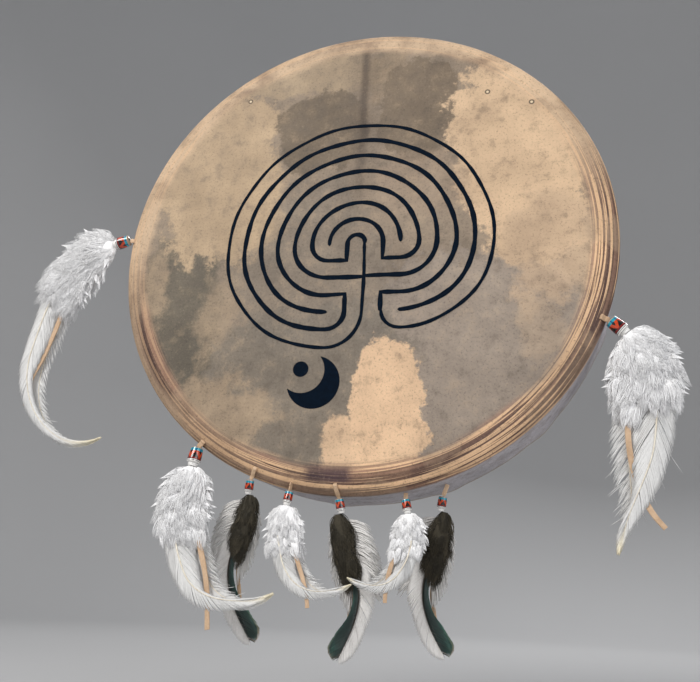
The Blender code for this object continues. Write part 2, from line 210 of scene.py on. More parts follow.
def swept(name, points, ring_at, material, sharp_deg=40):
    """A closed skin along the points; ring_at(share) gives the ring there as (aside, up) offsets."""
    verts = []
    count = len(points)
    side_before = None
    for i, point in enumerate(points):
        axis = (points[min(i + 1, count - 1)] - points[max(i - 1, 0)]).normalized()
        if side_before is None:
            helper = Vector((0, 1, 0)) if abs(axis.y) < 0.8 else Vector((1, 0, 0))
            side = axis.cross(helper).normalized()
        else:
            side = (side_before - axis * side_before.dot(axis)).normalized()
        side_before = side
        up = side.cross(axis).normalized()
        ring = ring_at(i / (count - 1))
        verts += [point + side * a + up * b for a, b in ring]
    return add_mesh(name, verts, tube_faces(count, len(ring)), material, sharp_deg)


def oval(half_a, half_b, sides, spin=0.0, square=2.0):
    """A closed ring, from an ellipse (square 2) towards a rounded oblong (square 4)."""
    ring = []
    for j in range(sides):
        turn = math.tau * j / sides
        c, s = math.cos(turn), math.sin(turn)
        a = half_a * math.copysign(abs(c) ** (2 / square), c)
        b = half_b * math.copysign(abs(s) ** (2 / square), s)
        ring.append((a * math.cos(spin) - b * math.sin(spin), a * math.sin(spin) + b * math.cos(spin)))
    return ring


class Pendant:
    """The leaning plane that one pendant hangs in: across, down and towards the listener."""

    def __init__(self, name, spec):
        self.name = name
        self.spec = spec
        self.size = spec["size"]
        self.kind = spec["kind"]
        lean = math.radians(spec["lean"])
        self.y = FRONT_Y + spec["behind"]
        self.mouth = polar(*spec["mouth"], self.y)
        self.across = Vector((1, 0, 0))
        self.down = Vector((0, -math.sin(lean), -math.cos(lean)))
        self.ahead = Vector((0, -math.cos(lean), math.sin(lean)))
        self.body = name + "_pendant"
        self.scale = 1.0 if self.size == "large" else 0.64
        self.inner = 1 if spec["tail_aside"] > 0 else -1

        bead_turn = math.radians(spec["bead"])
        self.bead_axis = self.across * math.sin(bead_turn) + self.down * math.cos(bead_turn)
        reach = BEAD_SIZES[self.size][0] + GAP + CUFF_L[self.size]
        self.cuff_end = (math.sin(bead_turn) * reach, math.cos(bead_turn) * reach)
        length, headings = spec["down"]
        self.down_line = self.line(self.cuff_end, length, headings, 12)
        across, down, heading = self.down_line[-1]
        length, headings = spec["blade"]
        start = (across + math.sin(heading) * GAP, down + math.cos(heading) * GAP)
        self.blade_line = self.line(start, length, (math.degrees(heading),) + tuple(headings[1:]), 24)

    def at(self, across, down, ahead=0.0):
        return self.mouth + self.across * across + self.down * down + self.ahead * ahead

    def line(self, start, length, headings, steps):
        """(across, down, heading) stations along a line that turns evenly through its headings."""
        stations = []
        across, down = start
        spans = len(headings) - 1
        fine = 8
        for i in range(steps * fine + 1):
            share = i / (steps * fine)
            span = min(int(share * spans), spans - 1)
            blend = share * spans - span
            heading = math.radians(headings[span] + (headings[span + 1] - headings[span]) * blend)
            if i % fine == 0:
                stations.append((across, down, heading))
            across += math.sin(heading) * length / (steps * fine)
            down += math.cos(heading) * length / (steps * fine)
        return stations

    def on(self, stations, share):
        """(point, along, aside) at this share of a line of stations."""
        place = min(max(share, 0.0), 1.0) * (len(stations) - 1)
        i = min(int(place), len(stations) - 2)
        t = place - i
        across, down, heading = (a + (b - a) * t for a, b in zip(stations[i], stations[i + 1]))
        along = self.across * math.sin(heading) + self.down * math.cos(heading)
        aside = self.across * math.cos(heading) - self.down * math.sin(heading)
        return self.at(across, down), along, aside

    def feather(self, share):
        """(point, along, aside) along the feathers; below 0 is up inside the down."""
        if share < 0:
            return self.on(self.down_line, 1 + share * self.spec["blade"][0] / self.spec["down"][0])
        return self.on(self.blade_line, share)

    def tail_points(self):
        """The thong tail's route, the same points as the part's."""
        length, headings = self.spec["tail"]
        across, down, heading = self.down_line[-1]
        aside = self.spec["tail_aside"]
        reach = GAP * 2
        start = (across + math.cos(heading) * aside + math.sin(heading) * reach,
                 down - math.sin(heading) * aside + math.cos(heading) * reach)
        stations = self.line(start, length, (math.degrees(heading),) + tuple(headings[1:]), 10)
        return [self.at(x, z, TAIL_AHEAD[self.kind]) for x, z, _ in stations]


PIECES = [Pendant(name, spec) for name, spec in PENDANTS.items()]


# ---------------------------------------------------------------- camera
CAMERA_AT = Vector((0.13686, -0.58992, -0.27178))
CAMERA_AHEAD = Vector((-0.23279, 0.91943, 0.31697)).normalized()
CAMERA_UP = Vector((0.03136, -0.31865, 0.94735))
LENS_MM = 39.255


def make_camera():
    data = bpy.data.cameras.new("camera")
    data.sensor_width = 36.0
    data.lens = LENS_MM
    data.clip_start = 0.01
    camera = put_in_scene("camera", data)
    right = CAMERA_AHEAD.cross(CAMERA_UP).normalized()
    up = right.cross(CAMERA_AHEAD)
    turn = Matrix((right, up, -CAMERA_AHEAD)).transposed()
    camera.matrix_world = Matrix.Translation(CAMERA_AT) @ turn.to_4x4()
    bpy.context.scene.camera = camera


make_camera()


# ---------------------------------------------------------------- node trees for materials
class Value:
    """A node's output. Arithmetic on it adds Math nodes."""

    def __init__(self, tree, socket):
        self.tree, self.socket = tree, socket

    def __add__(self, other):
        return self.tree.math("ADD", self, other)

    def __sub__(self, other):
        return self.tree.math("SUBTRACT", self, other)

    def __mul__(self, other):
        return self.tree.math("MULTIPLY", self, other)

    def __truediv__(self, other):
        return self.tree.math("DIVIDE", self, other)

    def __pow__(self, other):
        return self.tree.math("POWER", self, other)

    def __abs__(self):
        return self.tree.math("ABSOLUTE", self)


class Tree:
    """A material's node tree, with short calls for the nodes that it uses."""

    def __init__(self, name, roughness=0.6, **constants):
        self.material = bpy.data.materials.new(name)
        self.material.use_nodes = True
        self.nodes = self.material.node_tree.nodes
        self.links = self.material.node_tree.links
        self.shader = self.nodes["Principled BSDF"]
        self.shader.inputs["Roughness"].default_value = roughness
        for key, value in constants.items():
            self.shader.inputs[key.replace("_", " ")].default_value = value
        self.place = self.node("TexCoord", {}, "Object")

    def put(self, socket, value):
        if isinstance(value, Value):
            self.links.new(value.socket, socket)
        elif isinstance(value, tuple) and socket.type == "RGBA":
            socket.default_value = (*value, 1.0)
        else:
            socket.default_value = value

    def node(self, kind, inputs, output=0, **settings):
        """A new node with its settings and inputs filled in; gives one of its outputs."""
        node = self.nodes.new("ShaderNode" + kind)
        for key, value in settings.items():
            setattr(node, key, value)
        for key, value in inputs.items():
            self.put(node.inputs[key], value)
        return Value(self, node.outputs[output])

    def math(self, operation, *values):
        return self.node("Math", dict(enumerate(values)), operation=operation)

    def hypot(self, a, b):
        return self.math("SQRT", a * a + b * b)

    def split(self):
        place = self.place
        return [self.node("SeparateXYZ", {0: place}, axis) for axis in range(3)]

    def join(self, x, y, z):
        return self.node("CombineXYZ", {0: x, 1: y, 2: z})

    def stretch(self, scale):
        return self.node("Mapping", {"Vector": self.place, "Scale": scale})

    def noise(self, scale, vector=None, detail=4.0, rough=0.55, distort=0.0):
        return self.node("TexNoise", {"Vector": vector or self.place, "Scale": scale, "Detail": detail,
                                      "Roughness": rough, "Distortion": distort}, "Fac")

    def step(self, value, low, high, to_low=0.0, to_high=1.0):
        return self.node("MapRange", {"Value": value, "From Min": low, "From Max": high, "To Min": to_low,
                                      "To Max": to_high}, interpolation_type="SMOOTHSTEP")

    def mix(self, share, a, b, blend="MIX"):
        return self.node("Mix", {"Factor": share, 6: a, 7: b}, 2, data_type="RGBA", blend_type=blend)

    def ramp(self, value, *stops):
        made = self.node("ValToRGB", {0: value})
        points = made.socket.node.color_ramp.elements
        points[0].position, points[0].color = stops[0][0], (*stops[0][1], 1.0)
        points[1].position, points[1].color = stops[-1][0], (*stops[-1][1], 1.0)
        for place, colour in stops[1:-1]:
            points.new(place).color = (*colour, 1.0)
        return made

    def attribute(self, name):
        return self.node("Attribute", {}, "Fac", attribute_name=name)

    def bump(self, height, depth, strength):
        made = self.node("Bump", {"Strength": strength, "Distance": depth, "Height": height})
        self.put(self.shader.inputs["Normal"], made)

    def finish(self, colour, roughness=None):
        self.put(self.shader.inputs["Base Color"], colour)
        if roughness is not None:
            self.put(self.shader.inputs["Roughness"], roughness)
        return self.material


def leather(name, dark, light, grain=900.0, roughness=0.7):
    """Suede-like leather: cloudy colour and a fine grain."""
    tree = Tree(name)
    clouds = tree.noise(60.0, detail=5.0, rough=0.6)
    fine = tree.noise(grain, detail=3.0, rough=0.7)
    tree.bump(fine, 0.0004, 0.5)
    colour = tree.ramp(clouds * 0.65 + fine * 0.35, (0.30, dark), (0.68, light))
    return tree.finish(colour, tree.step(fine, 0.3, 0.7, roughness - 0.08, roughness + 0.08))


# ---------------------------------------------------------------- thong tails, the free cords
THONG_LEATHER = leather("thong_leather", (0.40, 0.25, 0.145), (0.70, 0.50, 0.33), grain=700.0)


def make_tails():
    """The free end of each thong: a flat strip of leather that hangs below the down."""
    for p in PIECES:
        points = spline_points(p.tail_points(), 25)
        wide = THONG_W[p.size] / 2
        rng = random.Random("tail " + p.name)
        curl = rng.uniform(-0.5, 0.5)

        def ring_at(share, wide=wide, curl=curl):
            waver = 1.0 + 0.05 * math.sin(share * 17 + curl * 9)
            return oval(wide * waver * (1.0 - 0.12 * share), THONG_T / 2, 16, curl * share * 0.7, 5.0)

        piece = swept(p.name + "_tail", points, ring_at, THONG_LEATHER)
        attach(piece, p.body)
        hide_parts(p.name + "_thong_tail")


make_tails()


# ---------------------------------------------------------------- rawhide
FACE_R = RIM_R - SHOULDER_W
TAN = (0.61, 0.445, 0.29)
PALE = (0.99, 0.675, 0.43)
TAUPE = (0.215, 0.165, 0.118)
PIN_MARKS = ((-0.102, 0.144), (0.107, 0.128), (0.142, 0.114))
SQUARENESS = 2.4             # of a cloud's outline, between an ellipse (2) and an oblong
# Clouds in the hide: centre x and z, half sizes x and z, ragged edge, strength, colour
CLOUDS = (
    (0.105, -0.100, 0.092, 0.088, 0.10, 0.85, (0.42, 0.345, 0.285)),
    (-0.050, -0.122, 0.100, 0.064, 0.12, 0.80, (0.255, 0.217, 0.175)),
    (-0.148, -0.050, 0.036, 0.086, 0.22, 0.92, (0.175, 0.150, 0.115)),
    (-0.040, -0.020, 0.070, 0.070, 0.16, 0.45, (0.29, 0.245, 0.20)),
    (-0.130, 0.080, 0.058, 0.090, 0.10, 0.95, TAN),
    (-0.098, 0.040, 0.034, 0.044, 0.30, 0.55, TAN),
    (-0.046, 0.164, 0.070, 0.022, 0.22, 0.90, (0.47, 0.355, 0.24)),
    (-0.035, 0.108, 0.038, 0.040, 0.05, 0.92, TAUPE),
    (0.024, 0.158, 0.022, 0.028, 0.30, 0.65, (0.33, 0.245, 0.165)),
    (0.050, 0.122, 0.032, 0.050, 0.05, 0.90, (0.235, 0.178, 0.126)),
    (0.088, 0.062, 0.026, 0.036, 0.22, 0.60, (0.26, 0.20, 0.15)),
    (0.136, 0.070, 0.058, 0.096, 0.07, 0.96, (0.82, 0.58, 0.375)),
    (0.158, -0.012, 0.040, 0.046, 0.35, 0.75, (0.70, 0.50, 0.335)),
    (0.056, 0.046, 0.038, 0.032, 0.30, 0.45, (0.46, 0.34, 0.245)),
    (0.030, -0.143, 0.029, 0.052, 0.05, 0.96, PALE),
    (0.010, -0.170, 0.026, 0.026, 0.16, 0.85, PALE),
    (-0.106, -0.142, 0.040, 0.026, 0.75, 0.80, (0.52, 0.385, 0.26)),
    (-0.170, -0.036, 0.010, 0.040, 0.80, 0.70, (0.52, 0.385, 0.26)),
    (-0.110, -0.058, 0.015, 0.030, 0.80, 0.60, (0.50, 0.37, 0.25)),
    (0.143, -0.076, 0.014, 0.020, 0.50, 0.60, (0.60, 0.45, 0.32)),
)


def hide_material():
    """Stretched rawhide: clouded with hard and ragged edges, streaked where it turns the rim."""
    tree = Tree("rawhide", Specular_IOR_Level=0.22)
    x, y, z = tree.split()
    radius = tree.hypot(x, z)
    ragged = tree.noise(38.0, detail=11.0, rough=0.70)
    broad = tree.noise(13.0, detail=3.0, rough=0.5)
    speckle = tree.noise(520.0, detail=3.0, rough=0.75)
    frayed = tree.noise(170.0, detail=6.0, rough=0.72) - 0.5
    sway = (ragged - 0.5) * 2.3 + (broad - 0.5) * 1.5

    colour = tree.mix(broad, (0.335, 0.262, 0.195), (0.385, 0.298, 0.222))
    for cx, cz, rx, rz, edge, strength, shade in CLOUDS:
        reach = (abs((x - cx) / rx) ** SQUARENESS + abs((z - cz) / rz) ** SQUARENESS) ** (1 / SQUARENESS)
        reach += sway * (0.44 + 1.4 * edge) + frayed * (0.20 + 1.3 * edge)
        mask = tree.step(reach, 1.03 + edge * 0.5, 0.97 - edge * 0.5)
        colour = tree.mix(mask * strength, colour, shade)

    mottle = tree.noise(95.0, detail=8.0, rough=0.74)
    colour = tree.mix(tree.step(mottle, 0.50, 0.68, 0.0, 0.24), colour, (0.66, 0.49, 0.33))
    colour = tree.mix(tree.step(mottle, 0.49, 0.34, 0.0, 0.34), colour, (0.15, 0.115, 0.085))

    # the dark line of the animal's spine, down from the top
    off_spine = abs(x + (tree.noise(26.0, detail=5.0) - 0.5) * 0.010 - 0.003)
    spine = tree.step(off_spine, 0.0060, 0.0006) * tree.step(z, 0.015, 0.110)
    colour = tree.mix(spine * 0.72, colour, (0.085, 0.062, 0.048))
    beside = tree.step(off_spine, 0.024, 0.002) * tree.step(z, -0.03, 0.10)
    colour = tree.mix(beside * 0.42, colour, (0.15, 0.115, 0.09))

    # the streaked band where the hide turns the rim
    angle = tree.math("ARCTAN2", z, x)
    around = tree.join(tree.math("COSINE", angle) * 0.045, radius * 17.0, tree.math("SINE", angle) * 0.045)
    streaks = tree.noise(34.0, around, detail=3.0, rough=0.55)
    wide_streaks = tree.noise(11.0, around, detail=2.0, rough=0.5)
    blots = tree.noise(12.0, detail=4.0, rough=0.6)
    band = tree.step(radius + (blots - 0.5) * 0.016, FACE_R - 0.006, FACE_R + 0.003)
    band *= tree.step(y, FRONT_Y + SHOULDER_D * 1.5, FRONT_Y + SHOULDER_D * 0.9)
    low_right = tree.step(x * 0.75 - z, 0.02, 0.15)
    low = tree.step(z, 0.02, -0.10)
    bright = tree.step(streaks + low_right * 0.02, 0.50, 0.575)
    tan_rim = tree.mix(tree.step(blots, 0.38, 0.56), (0.40, 0.27, 0.18), (0.76, 0.55, 0.37))
    dark_rim = tree.mix(tree.step(wide_streaks, 0.44, 0.62), (0.085, 0.038, 0.034), (0.42, 0.235, 0.16))
    blotted = tree.step(blots, 0.44, 0.56) * 0.75 + 0.35
    inner_half = tree.step(radius, FACE_R + 0.015, FACE_R + 0.007, 0.40, 1.05)
    ground = tree.mix((low * inner_half + low_right * 0.95) * blotted, tan_rim, dark_rim)
    lined = tree.mix(bright * (low_right * 0.62 + 0.38), ground, (0.99, 0.64, 0.38))
    colour = tree.mix(band * 0.88, colour, lined)
    # a dark purplish patch on the inner part of the band at the very bottom of the rim
    bottom_dark_patch = tree.step(abs(x + 0.012), 0.022, 0.012) * band * tree.step(z, -0.16, -0.18)
    bottom_dark_patch *= tree.step(radius, FACE_R + 0.012, FACE_R + 0.007)
    colour = tree.mix(bottom_dark_patch * 0.85, colour, (0.075, 0.045, 0.060))

    # the side wall's pale bluish grey is a painted bluish reflection of the light on the hide, with the
    # hide's own mottle mixed into it
    side = tree.step(y, FRONT_Y + SHOULDER_D * 0.75, FRONT_Y + SHOULDER_D * 1.5)
    side_reflection_and_mottle = tree.mix(ragged, (0.54, 0.51, 0.55), (0.78, 0.735, 0.77))
    side_reflection_and_mottle = tree.mix(tree.step(mottle, 0.45, 0.62, 0.0, 0.45), side_reflection_and_mottle, (0.30, 0.235, 0.22))
    colour = tree.mix(side, colour, side_reflection_and_mottle)
    back = tree.step(y, BACK_Y - 0.010, BACK_Y - 0.002) * side
    colour = tree.mix(back, colour, tree.mix(mottle, (0.34, 0.245, 0.16), (0.60, 0.455, 0.31)))
    colour = tree.mix(tree.step(speckle, 0.54, 0.72, 0.0, 0.16), colour, (0.78, 0.62, 0.46))
    colour = tree.mix(tree.step(speckle, 0.48, 0.28, 0.0, 0.50), colour, (0.075, 0.058, 0.045))

    billow = tree.noise(24.0, detail=6.0, rough=0.62)
    billow = tree.ramp(billow, (0.32, (0.60, 0.60, 0.60)), (0.66, (0.86, 0.86, 0.85)))
    colour = tree.mix(1.0, colour, billow, "MULTIPLY")
    on_face = tree.step(y, FRONT_Y + 0.009, FRONT_Y + 0.007)
    for px, pz in PIN_MARKS:
        apart = tree.hypot(x - px, z - pz)
        colour = tree.mix(tree.step(apart, 0.0028, 0.0018) * on_face, colour, (0.13, 0.095, 0.065))
        colour = tree.mix(tree.step(apart, 0.0014, 0.0008) * on_face, colour, (0.72, 0.58, 0.40))
    tree.bump(speckle * 0.6 + mottle * 0.9 + streaks * band * 1.3, 0.0006, 0.5)
    return tree.finish(colour, tree.step(mottle, 0.3, 0.7, 0.55, 0.76))


HIDE = hide_material()


def lace_degs():
    return [LACE_FIRST_DEG + 360 * i / LACE_COUNT for i in range(LACE_COUNT)]


def near_hole(deg, spread):
    """1 at a lace hole's angle, falling to 0 at spread degrees from it."""
    step = 360 / LACE_COUNT
    off = abs((deg - LACE_FIRST_DEG + step / 2) % step - step / 2)
    return 1.0 - smooth(0.0, spread, off)


def head_profile():
    """The hide's outside from the face to the turned rim, as (radius, y, share of the puckers)."""
    outside = [(FACE_R * share, FRONT_Y, 0.0) for share in (0.12, 0.3, 0.5, 0.7, 0.85, 0.95)]
    steps = 12
    for i in range(steps + 1):
        turn = math.radians(90 * i / steps)
        outside.append((FACE_R + SHOULDER_W * math.sin(turn),
                        FRONT_Y + SHOULDER_D * (1 - math.cos(turn)), 0.0))
    side_from = FRONT_Y + SHOULDER_D
    side_to = BACK_Y - BACK_ROUND
    for i in range(1, 9):
        share = i / 8
        outside.append((RIM_R, side_from + (side_to - side_from) * share, smooth(0.35, 1.0, share)))
    for i in range(1, 7):
        turn = math.radians(90 * i / 6)
        outside.append((RIM_R - BACK_ROUND + BACK_ROUND * math.cos(turn),
                        side_to + BACK_ROUND * math.sin(turn), 1.0))
    return outside


def make_head():
    """One skin over the hoop, folded over the back; its cut edge runs in scallops between the holes."""
    segments = 360
    outside = head_profile()
    rng = random.Random("hide")
    waves = [(rng.randint(9, 60), rng.uniform(0, math.tau), rng.uniform(0.3, 1.0)) for _ in range(14)]
    lip_steps = 6
    verts, rings = [], []

    def ruffle(deg):
        turn = math.radians(deg)
        return sum(size * math.sin(count * turn + start) for count, start, size in waves) / 7

    def lip_edge(deg):
        return LIP_R + 0.0008 + LIP_SCALLOP * (1.0 - near_hole(deg, 9.0)) + 0.0006 * ruffle(deg * 1.3)

    def to_lip(deg, share):
        start = RIM_R - BACK_ROUND
        return start + (lip_edge(deg) - start) * share

    def lip_back(deg, share):
        return BACK_Y + 0.0006 * near_hole(deg, 6.0) * math.sin(math.pi * share)

    def add_ring(radius_y):
        rings.append(len(verts))
        for k in range(segments):
            deg = 360 * k / segments
            radius, y = radius_y(deg)
            verts.append(polar(deg, radius, y))

    def shell(radius, y, pucker, inset):
        def place(deg):
            swell = pucker * (0.0013 * near_hole(deg, 5.0) + 0.0005 * max(ruffle(deg), 0.0))
            dent = 0.00012 * (1 + ruffle(deg * 2)) * (1.0 if y > FRONT_Y + SHOULDER_D * 0.5 else 0.0)
            return radius - inset + swell - max(dent, 0.0), y
        return place

    for radius, y, pucker in outside:
        add_ring(shell(radius, y, pucker, 0.0))
    for i in range(1, lip_steps + 1):
        add_ring(lambda deg, share=i / lip_steps: (to_lip(deg, share), lip_back(deg, share)))
    for i in range(lip_steps, -1, -1):
        add_ring(lambda deg, share=i / lip_steps: (to_lip(deg, share), BACK_Y - HIDE_T))
    inside = [(radius, y) for radius, y, _ in outside if y > FRONT_Y + 0.00001]
    for radius, y in inside[::-1][6:]:
        add_ring(lambda deg, radius=radius, y=y: (radius - HIDE_T * 0.96, max(y, FRONT_Y + HIDE_T)))
    for radius, y, _ in outside[:6][::-1]:
        add_ring(lambda deg, radius=radius: (radius, FRONT_Y + HIDE_T))

    faces = []
    for a, b in zip(rings, rings[1:]):
        for k in range(segments):
            n = (k + 1) % segments
            faces.append((a + k, a + n, b + n, b + k))
    front, rear = len(verts), len(verts) + 1
    verts += [Vector((0, FRONT_Y, 0)), Vector((0, FRONT_Y + HIDE_T, 0))]
    for k in range(segments):
        n = (k + 1) % segments
        faces.append((front, rings[0] + n, rings[0] + k))
        faces.append((rear, rings[-1] + k, rings[-1] + n))
    head = add_mesh("hide_skin", verts, faces, HIDE, sharp_deg=55)

    punches = bmesh.new()
    for deg in lace_degs():
        made = bmesh.ops.create_cone(punches, cap_ends=True, segments=20, radius1=LACE_HOLE_R,
                                     radius2=LACE_HOLE_R, depth=0.006)["verts"]
        centre = polar(deg, LACE_HOLE_AT, BACK_Y)
        for vertex in made:
            x, y, z = vertex.co
            vertex.co = centre + Vector((x, z, -y))
    mesh = bpy.data.meshes.new("punches")
    punches.to_mesh(mesh)
    punches.free()
    cutter = put_in_scene("punches", mesh)
    cut = head.modifiers.new("holes", "BOOLEAN")
    cut.operation = "DIFFERENCE"
    cut.object = cutter
    apply_modifiers(head)
    bpy.data.objects.remove(cutter, do_unlink=True)
    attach(head, "drum")
    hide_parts("drum_head")


def apply_modifiers(obj):
    graph = bpy.context.evaluated_depsgraph_get()
    graph.update()
    final = bpy.data.meshes.new_from_object(obj.evaluated_get(graph))
    obj.modifiers.clear()
    obj.data = final


make_head()


# ---------------------------------------------------------------- painted pattern
PAINT_T = 0.00022
COAT_T = 0.00002             # how much further out each later stroke lies
PAINT_SINK = 0.00005         # how far the paint's base is sunk in the hide
STROKE_STEP = 0.004
BRUSH = 0.0037               # width of a full brush stroke
MAZE_UNIT = 0.0146
MAZE_CENTRE = (0.0085, -0.0318)
MOON_AT = (-0.036, -0.086)   # the crescent's centre, from the labyrinth's
MOON_R = 0.021


def paint_material():
    tree = Tree("paint", Specular_IOR_Level=0.03)
    grain = tree.noise(260.0, detail=5.0, rough=0.7)
    worn = tree.noise(40.0, detail=6.0, rough=0.7)
    colour = tree.ramp(grain, (0.30, (0.0015, 0.0045, 0.010)), (0.62, (0.003, 0.008, 0.017)),
                       (0.85, (0.012, 0.019, 0.030)))
    colour = tree.mix(tree.step(worn, 0.62, 0.76, 0.0, 0.3), colour, (0.060, 0.054, 0.052))
    tree.bump(grain, 0.0003, 0.4)
    return tree.finish(colour, tree.step(grain, 0.3, 0.7, 0.60, 0.78))


PAINT = paint_material()


def arc(centre, radius, start, end, count=None):
    """Points on a circle between two angles in degrees, both ends included."""
    count = count or max(4, int(abs(end - start) * max(radius, 1) / 14))
    cx, cz = centre
    points = []
    for i in range(count + 1):
        turn = math.radians(start + (end - start) * i / count)
        points.append((cx + radius * math.cos(turn), cz + radius * math.sin(turn)))
    return points


def maze_walls():
    """A classical seven-circuit labyrinth in units of its path, grown from its seed.

    The seed is a cross with a corner and a dot in each quarter. Each wall joins one end of the
    seed on the left to the matching one on the right, so the walls here are chained through the
    seed into brush strokes that never run over each other's ends.
    """
    def over(k):
        """The wall that turns over the top at k paths outside the innermost, left end first."""
        left = arc((-2, 2), k, -90, -180)[:-1] if k > 0 else []
        return left + arc((0.5, 2), 2.5 + k, 180, 0) + arc((2, 2), 1 + k, 0, -90)[1:]

    corner = {}
    for sx in (-1, 1):
        for sz in (-1, 1):
            corner[sx, sz] = [(sx, 2 * sz), (sx, sz), (2 * sx, sz)]
    top_right = arc((0.5, 2), 0.5, 180, 0) + corner[1, 1][1:] + over(0)[::-1][1:]
    top_left = arc((0.5, 2), 1.5, 0, 180) + corner[-1, 1][1:] + over(1)[1:] + [(0.0, 0.0)]
    arms = [(0.0, 0.0), (-2, 0)] + over(2)[1:] + corner[1, -1][::-1][1:]
    arms += arc((2, -2), 1, -180, -90)[1:] + over(4)[::-1][1:]
    outer = arc((-2, -2), 1, 0, -90) + arc((-2, 2), 5, -90, -180)[1:] + arc((0.5, 2), 7.5, 180, 0)[1:]
    outer += arc((2, 2), 6, 0, -90)[1:] + arc((2, -2), 2, -90, -180)[1:] + [(0, 2)]
    low_left = over(3)[::-1] + corner[-1, -1][::-1][1:]
    return [(top_right, 1.0), (top_left, 1.0), (arms, 1.0), (low_left, 1.0), (outer, 0.74)]


def ribbon(bm, points, half, rng, coat):
    """A brushed line of flat paint with round ends, on the face; later coats lie on earlier ones."""
    fine = []
    for (ax, az), (bx, bz) in zip(points, points[1:]):
        steps = max(1, int(math.hypot(bx - ax, bz - az) / STROKE_STEP))
        fine += [(ax + (bx - ax) * i / steps, az + (bz - az) * i / steps) for i in range(steps)]
    fine.append(points[-1])
    count = len(fine)
    starts = [rng.uniform(0, math.tau) for _ in range(3)]
    lefts, rights = [], []
    for i, (x, z) in enumerate(fine):
        ax, az = fine[max(i - 1, 0)]
        bx, bz = fine[min(i + 1, count - 1)]
        size = math.hypot(bx - ax, bz - az)
        nx, nz = -(bz - az) / size, (bx - ax) / size
        along = i * STROKE_STEP
        waver = 1 + 0.10 * math.sin(along * 150 + starts[0]) + 0.08 * math.sin(along * 410 + starts[1])
        drift = 0.00035 * math.sin(along * 95 + starts[2])
        wide = half * waver * (0.72 if i in (0, count - 1) else 1.0)
        lefts.append((x + nx * (wide + drift), z + nz * (wide + drift)))
        rights.append((x - nx * (wide - drift), z - nz * (wide - drift)))
    outline = lefts + [tip(fine, -1, half)] + rights[::-1] + [tip(fine, 0, half)]
    top = FRONT_Y - PAINT_T - coat * COAT_T
    base = FRONT_Y + PAINT_SINK
    uppers = [bm.verts.new((x, top, z)) for x, z in outline]
    lowers = [bm.verts.new((x, base, z)) for x, z in outline]
    total = len(outline)
    for i in range(total):
        n = (i + 1) % total
        bm.faces.new((uppers[i], uppers[n], lowers[n], lowers[i]))
    for level in (uppers, lowers):
        for i in range(count - 1):
            bm.faces.new((level[i], level[i + 1], level[total - 3 - i], level[total - 2 - i]))
        bm.faces.new((level[count - 1], level[count], level[count + 1]))
        bm.faces.new((level[total - 2], level[total - 1], level[0]))


def tip(points, which, half):
    """The rounded end's furthest point, just past the first or last point."""
    (x, z), (bx, bz) = (points[0], points[1]) if which == 0 else (points[-1], points[-2])
    size = math.hypot(x - bx, z - bz)
    return x + (x - bx) / size * half * 0.75, z + (z - bz) / size * half * 0.75


def plate(bm, outline):
    """A flat painted shape on the face."""
    top = [bm.verts.new((x, FRONT_Y - PAINT_T, z)) for x, z in outline]
    base = [bm.verts.new((x, FRONT_Y + PAINT_SINK, z)) for x, z in outline]
    for i in range(len(outline)):
        n = (i + 1) % len(outline)
        bm.faces.new((top[i], top[n], base[n], base[i]))
    bm.faces.new(top)
    bm.faces.new(base)


def make_painting():
    """The labyrinth, with a plain crescent and disc below it."""
    rng = random.Random("brush")
    cx, cz = MAZE_CENTRE
    bm = bmesh.new()
    for coat, (wall, weight) in enumerate(maze_walls()):
        points = [(cx - x * MAZE_UNIT, cz + z * MAZE_UNIT) for x, z in wall]
        ribbon(bm, points, BRUSH / 2 * weight, rng, coat)
    moon = (cx + MOON_AT[0], cz + MOON_AT[1])
    outer = arc(moon, MOON_R, -165, 75, 40)
    inner = arc((moon[0] - 0.0092, moon[1] + 0.0092), 0.0178, 38, -128, 36)
    plate(bm, outer + inner)
    plate(bm, arc((moon[0] - 0.0105, moon[1] + 0.0105), 0.0062, 0, 348, 28))
    bmesh.ops.recalc_face_normals(bm, faces=bm.faces)
    bmesh.ops.triangulate(bm, faces=[face for face in bm.faces if len(face.verts) > 4])
    mesh = bpy.data.meshes.new("painted_pattern")
    bm.to_mesh(mesh)
    bm.free()
    mesh.materials.append(PAINT)
    obj = put_in_scene("painted_pattern", mesh)
    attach(obj, "drum")


make_painting()


# ---------------------------------------------------------------- hoop, laces and grip
def wood_material():
    """Bent wood with its grain running round the hoop."""
    tree = Tree("hoop_wood")
    x, y, z = tree.split()
    angle = tree.math("ARCTAN2", z, x)
    around = tree.join(tree.math("COSINE", angle) * 0.03, y * 2.2,
                       tree.math("SINE", angle) * 0.03 + tree.hypot(x, z) * 2.2)
    grain = tree.noise(150.0, around, detail=6.0, rough=0.6, distort=0.4)
    rings = tree.noise(34.0, around, detail=2.0, rough=0.5)
    pores = tree.noise(900.0, around, detail=2.0)
    colour = tree.ramp(grain, (0.30, (0.18, 0.085, 0.035)), (0.50, (0.42, 0.235, 0.11)),
                       (0.70, (0.60, 0.38, 0.20)))
    colour = tree.mix(tree.step(rings, 0.42, 0.60, 0.0, 0.55), colour, (0.36, 0.19, 0.085))
    colour = tree.mix(tree.step(pores, 0.40, 0.25, 0.0, 0.6), colour, (0.10, 0.045, 0.02))
    tree.bump(grain, 0.0006, 0.35)
    return tree.finish(colour, tree.step(grain, 0.3, 0.7, 0.48, 0.66))


WOOD = wood_material()
LACE_SKIN = leather("rawhide_lace", (0.36, 0.25, 0.14), (0.74, 0.58, 0.38), grain=500.0, roughness=0.5)
GRIP_SKIN = leather("grip_leather", (0.085, 0.038, 0.018), (0.30, 0.155, 0.075), grain=600.0, roughness=0.62)

hoop_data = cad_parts["hoop"].data
hoop_data.materials.clear()
hoop_data.materials.append(WOOD)


def nearest_arm(deg):
    return min(ARM_DEGS, key=lambda arm: abs((deg - arm + 180) % 360 - 180))


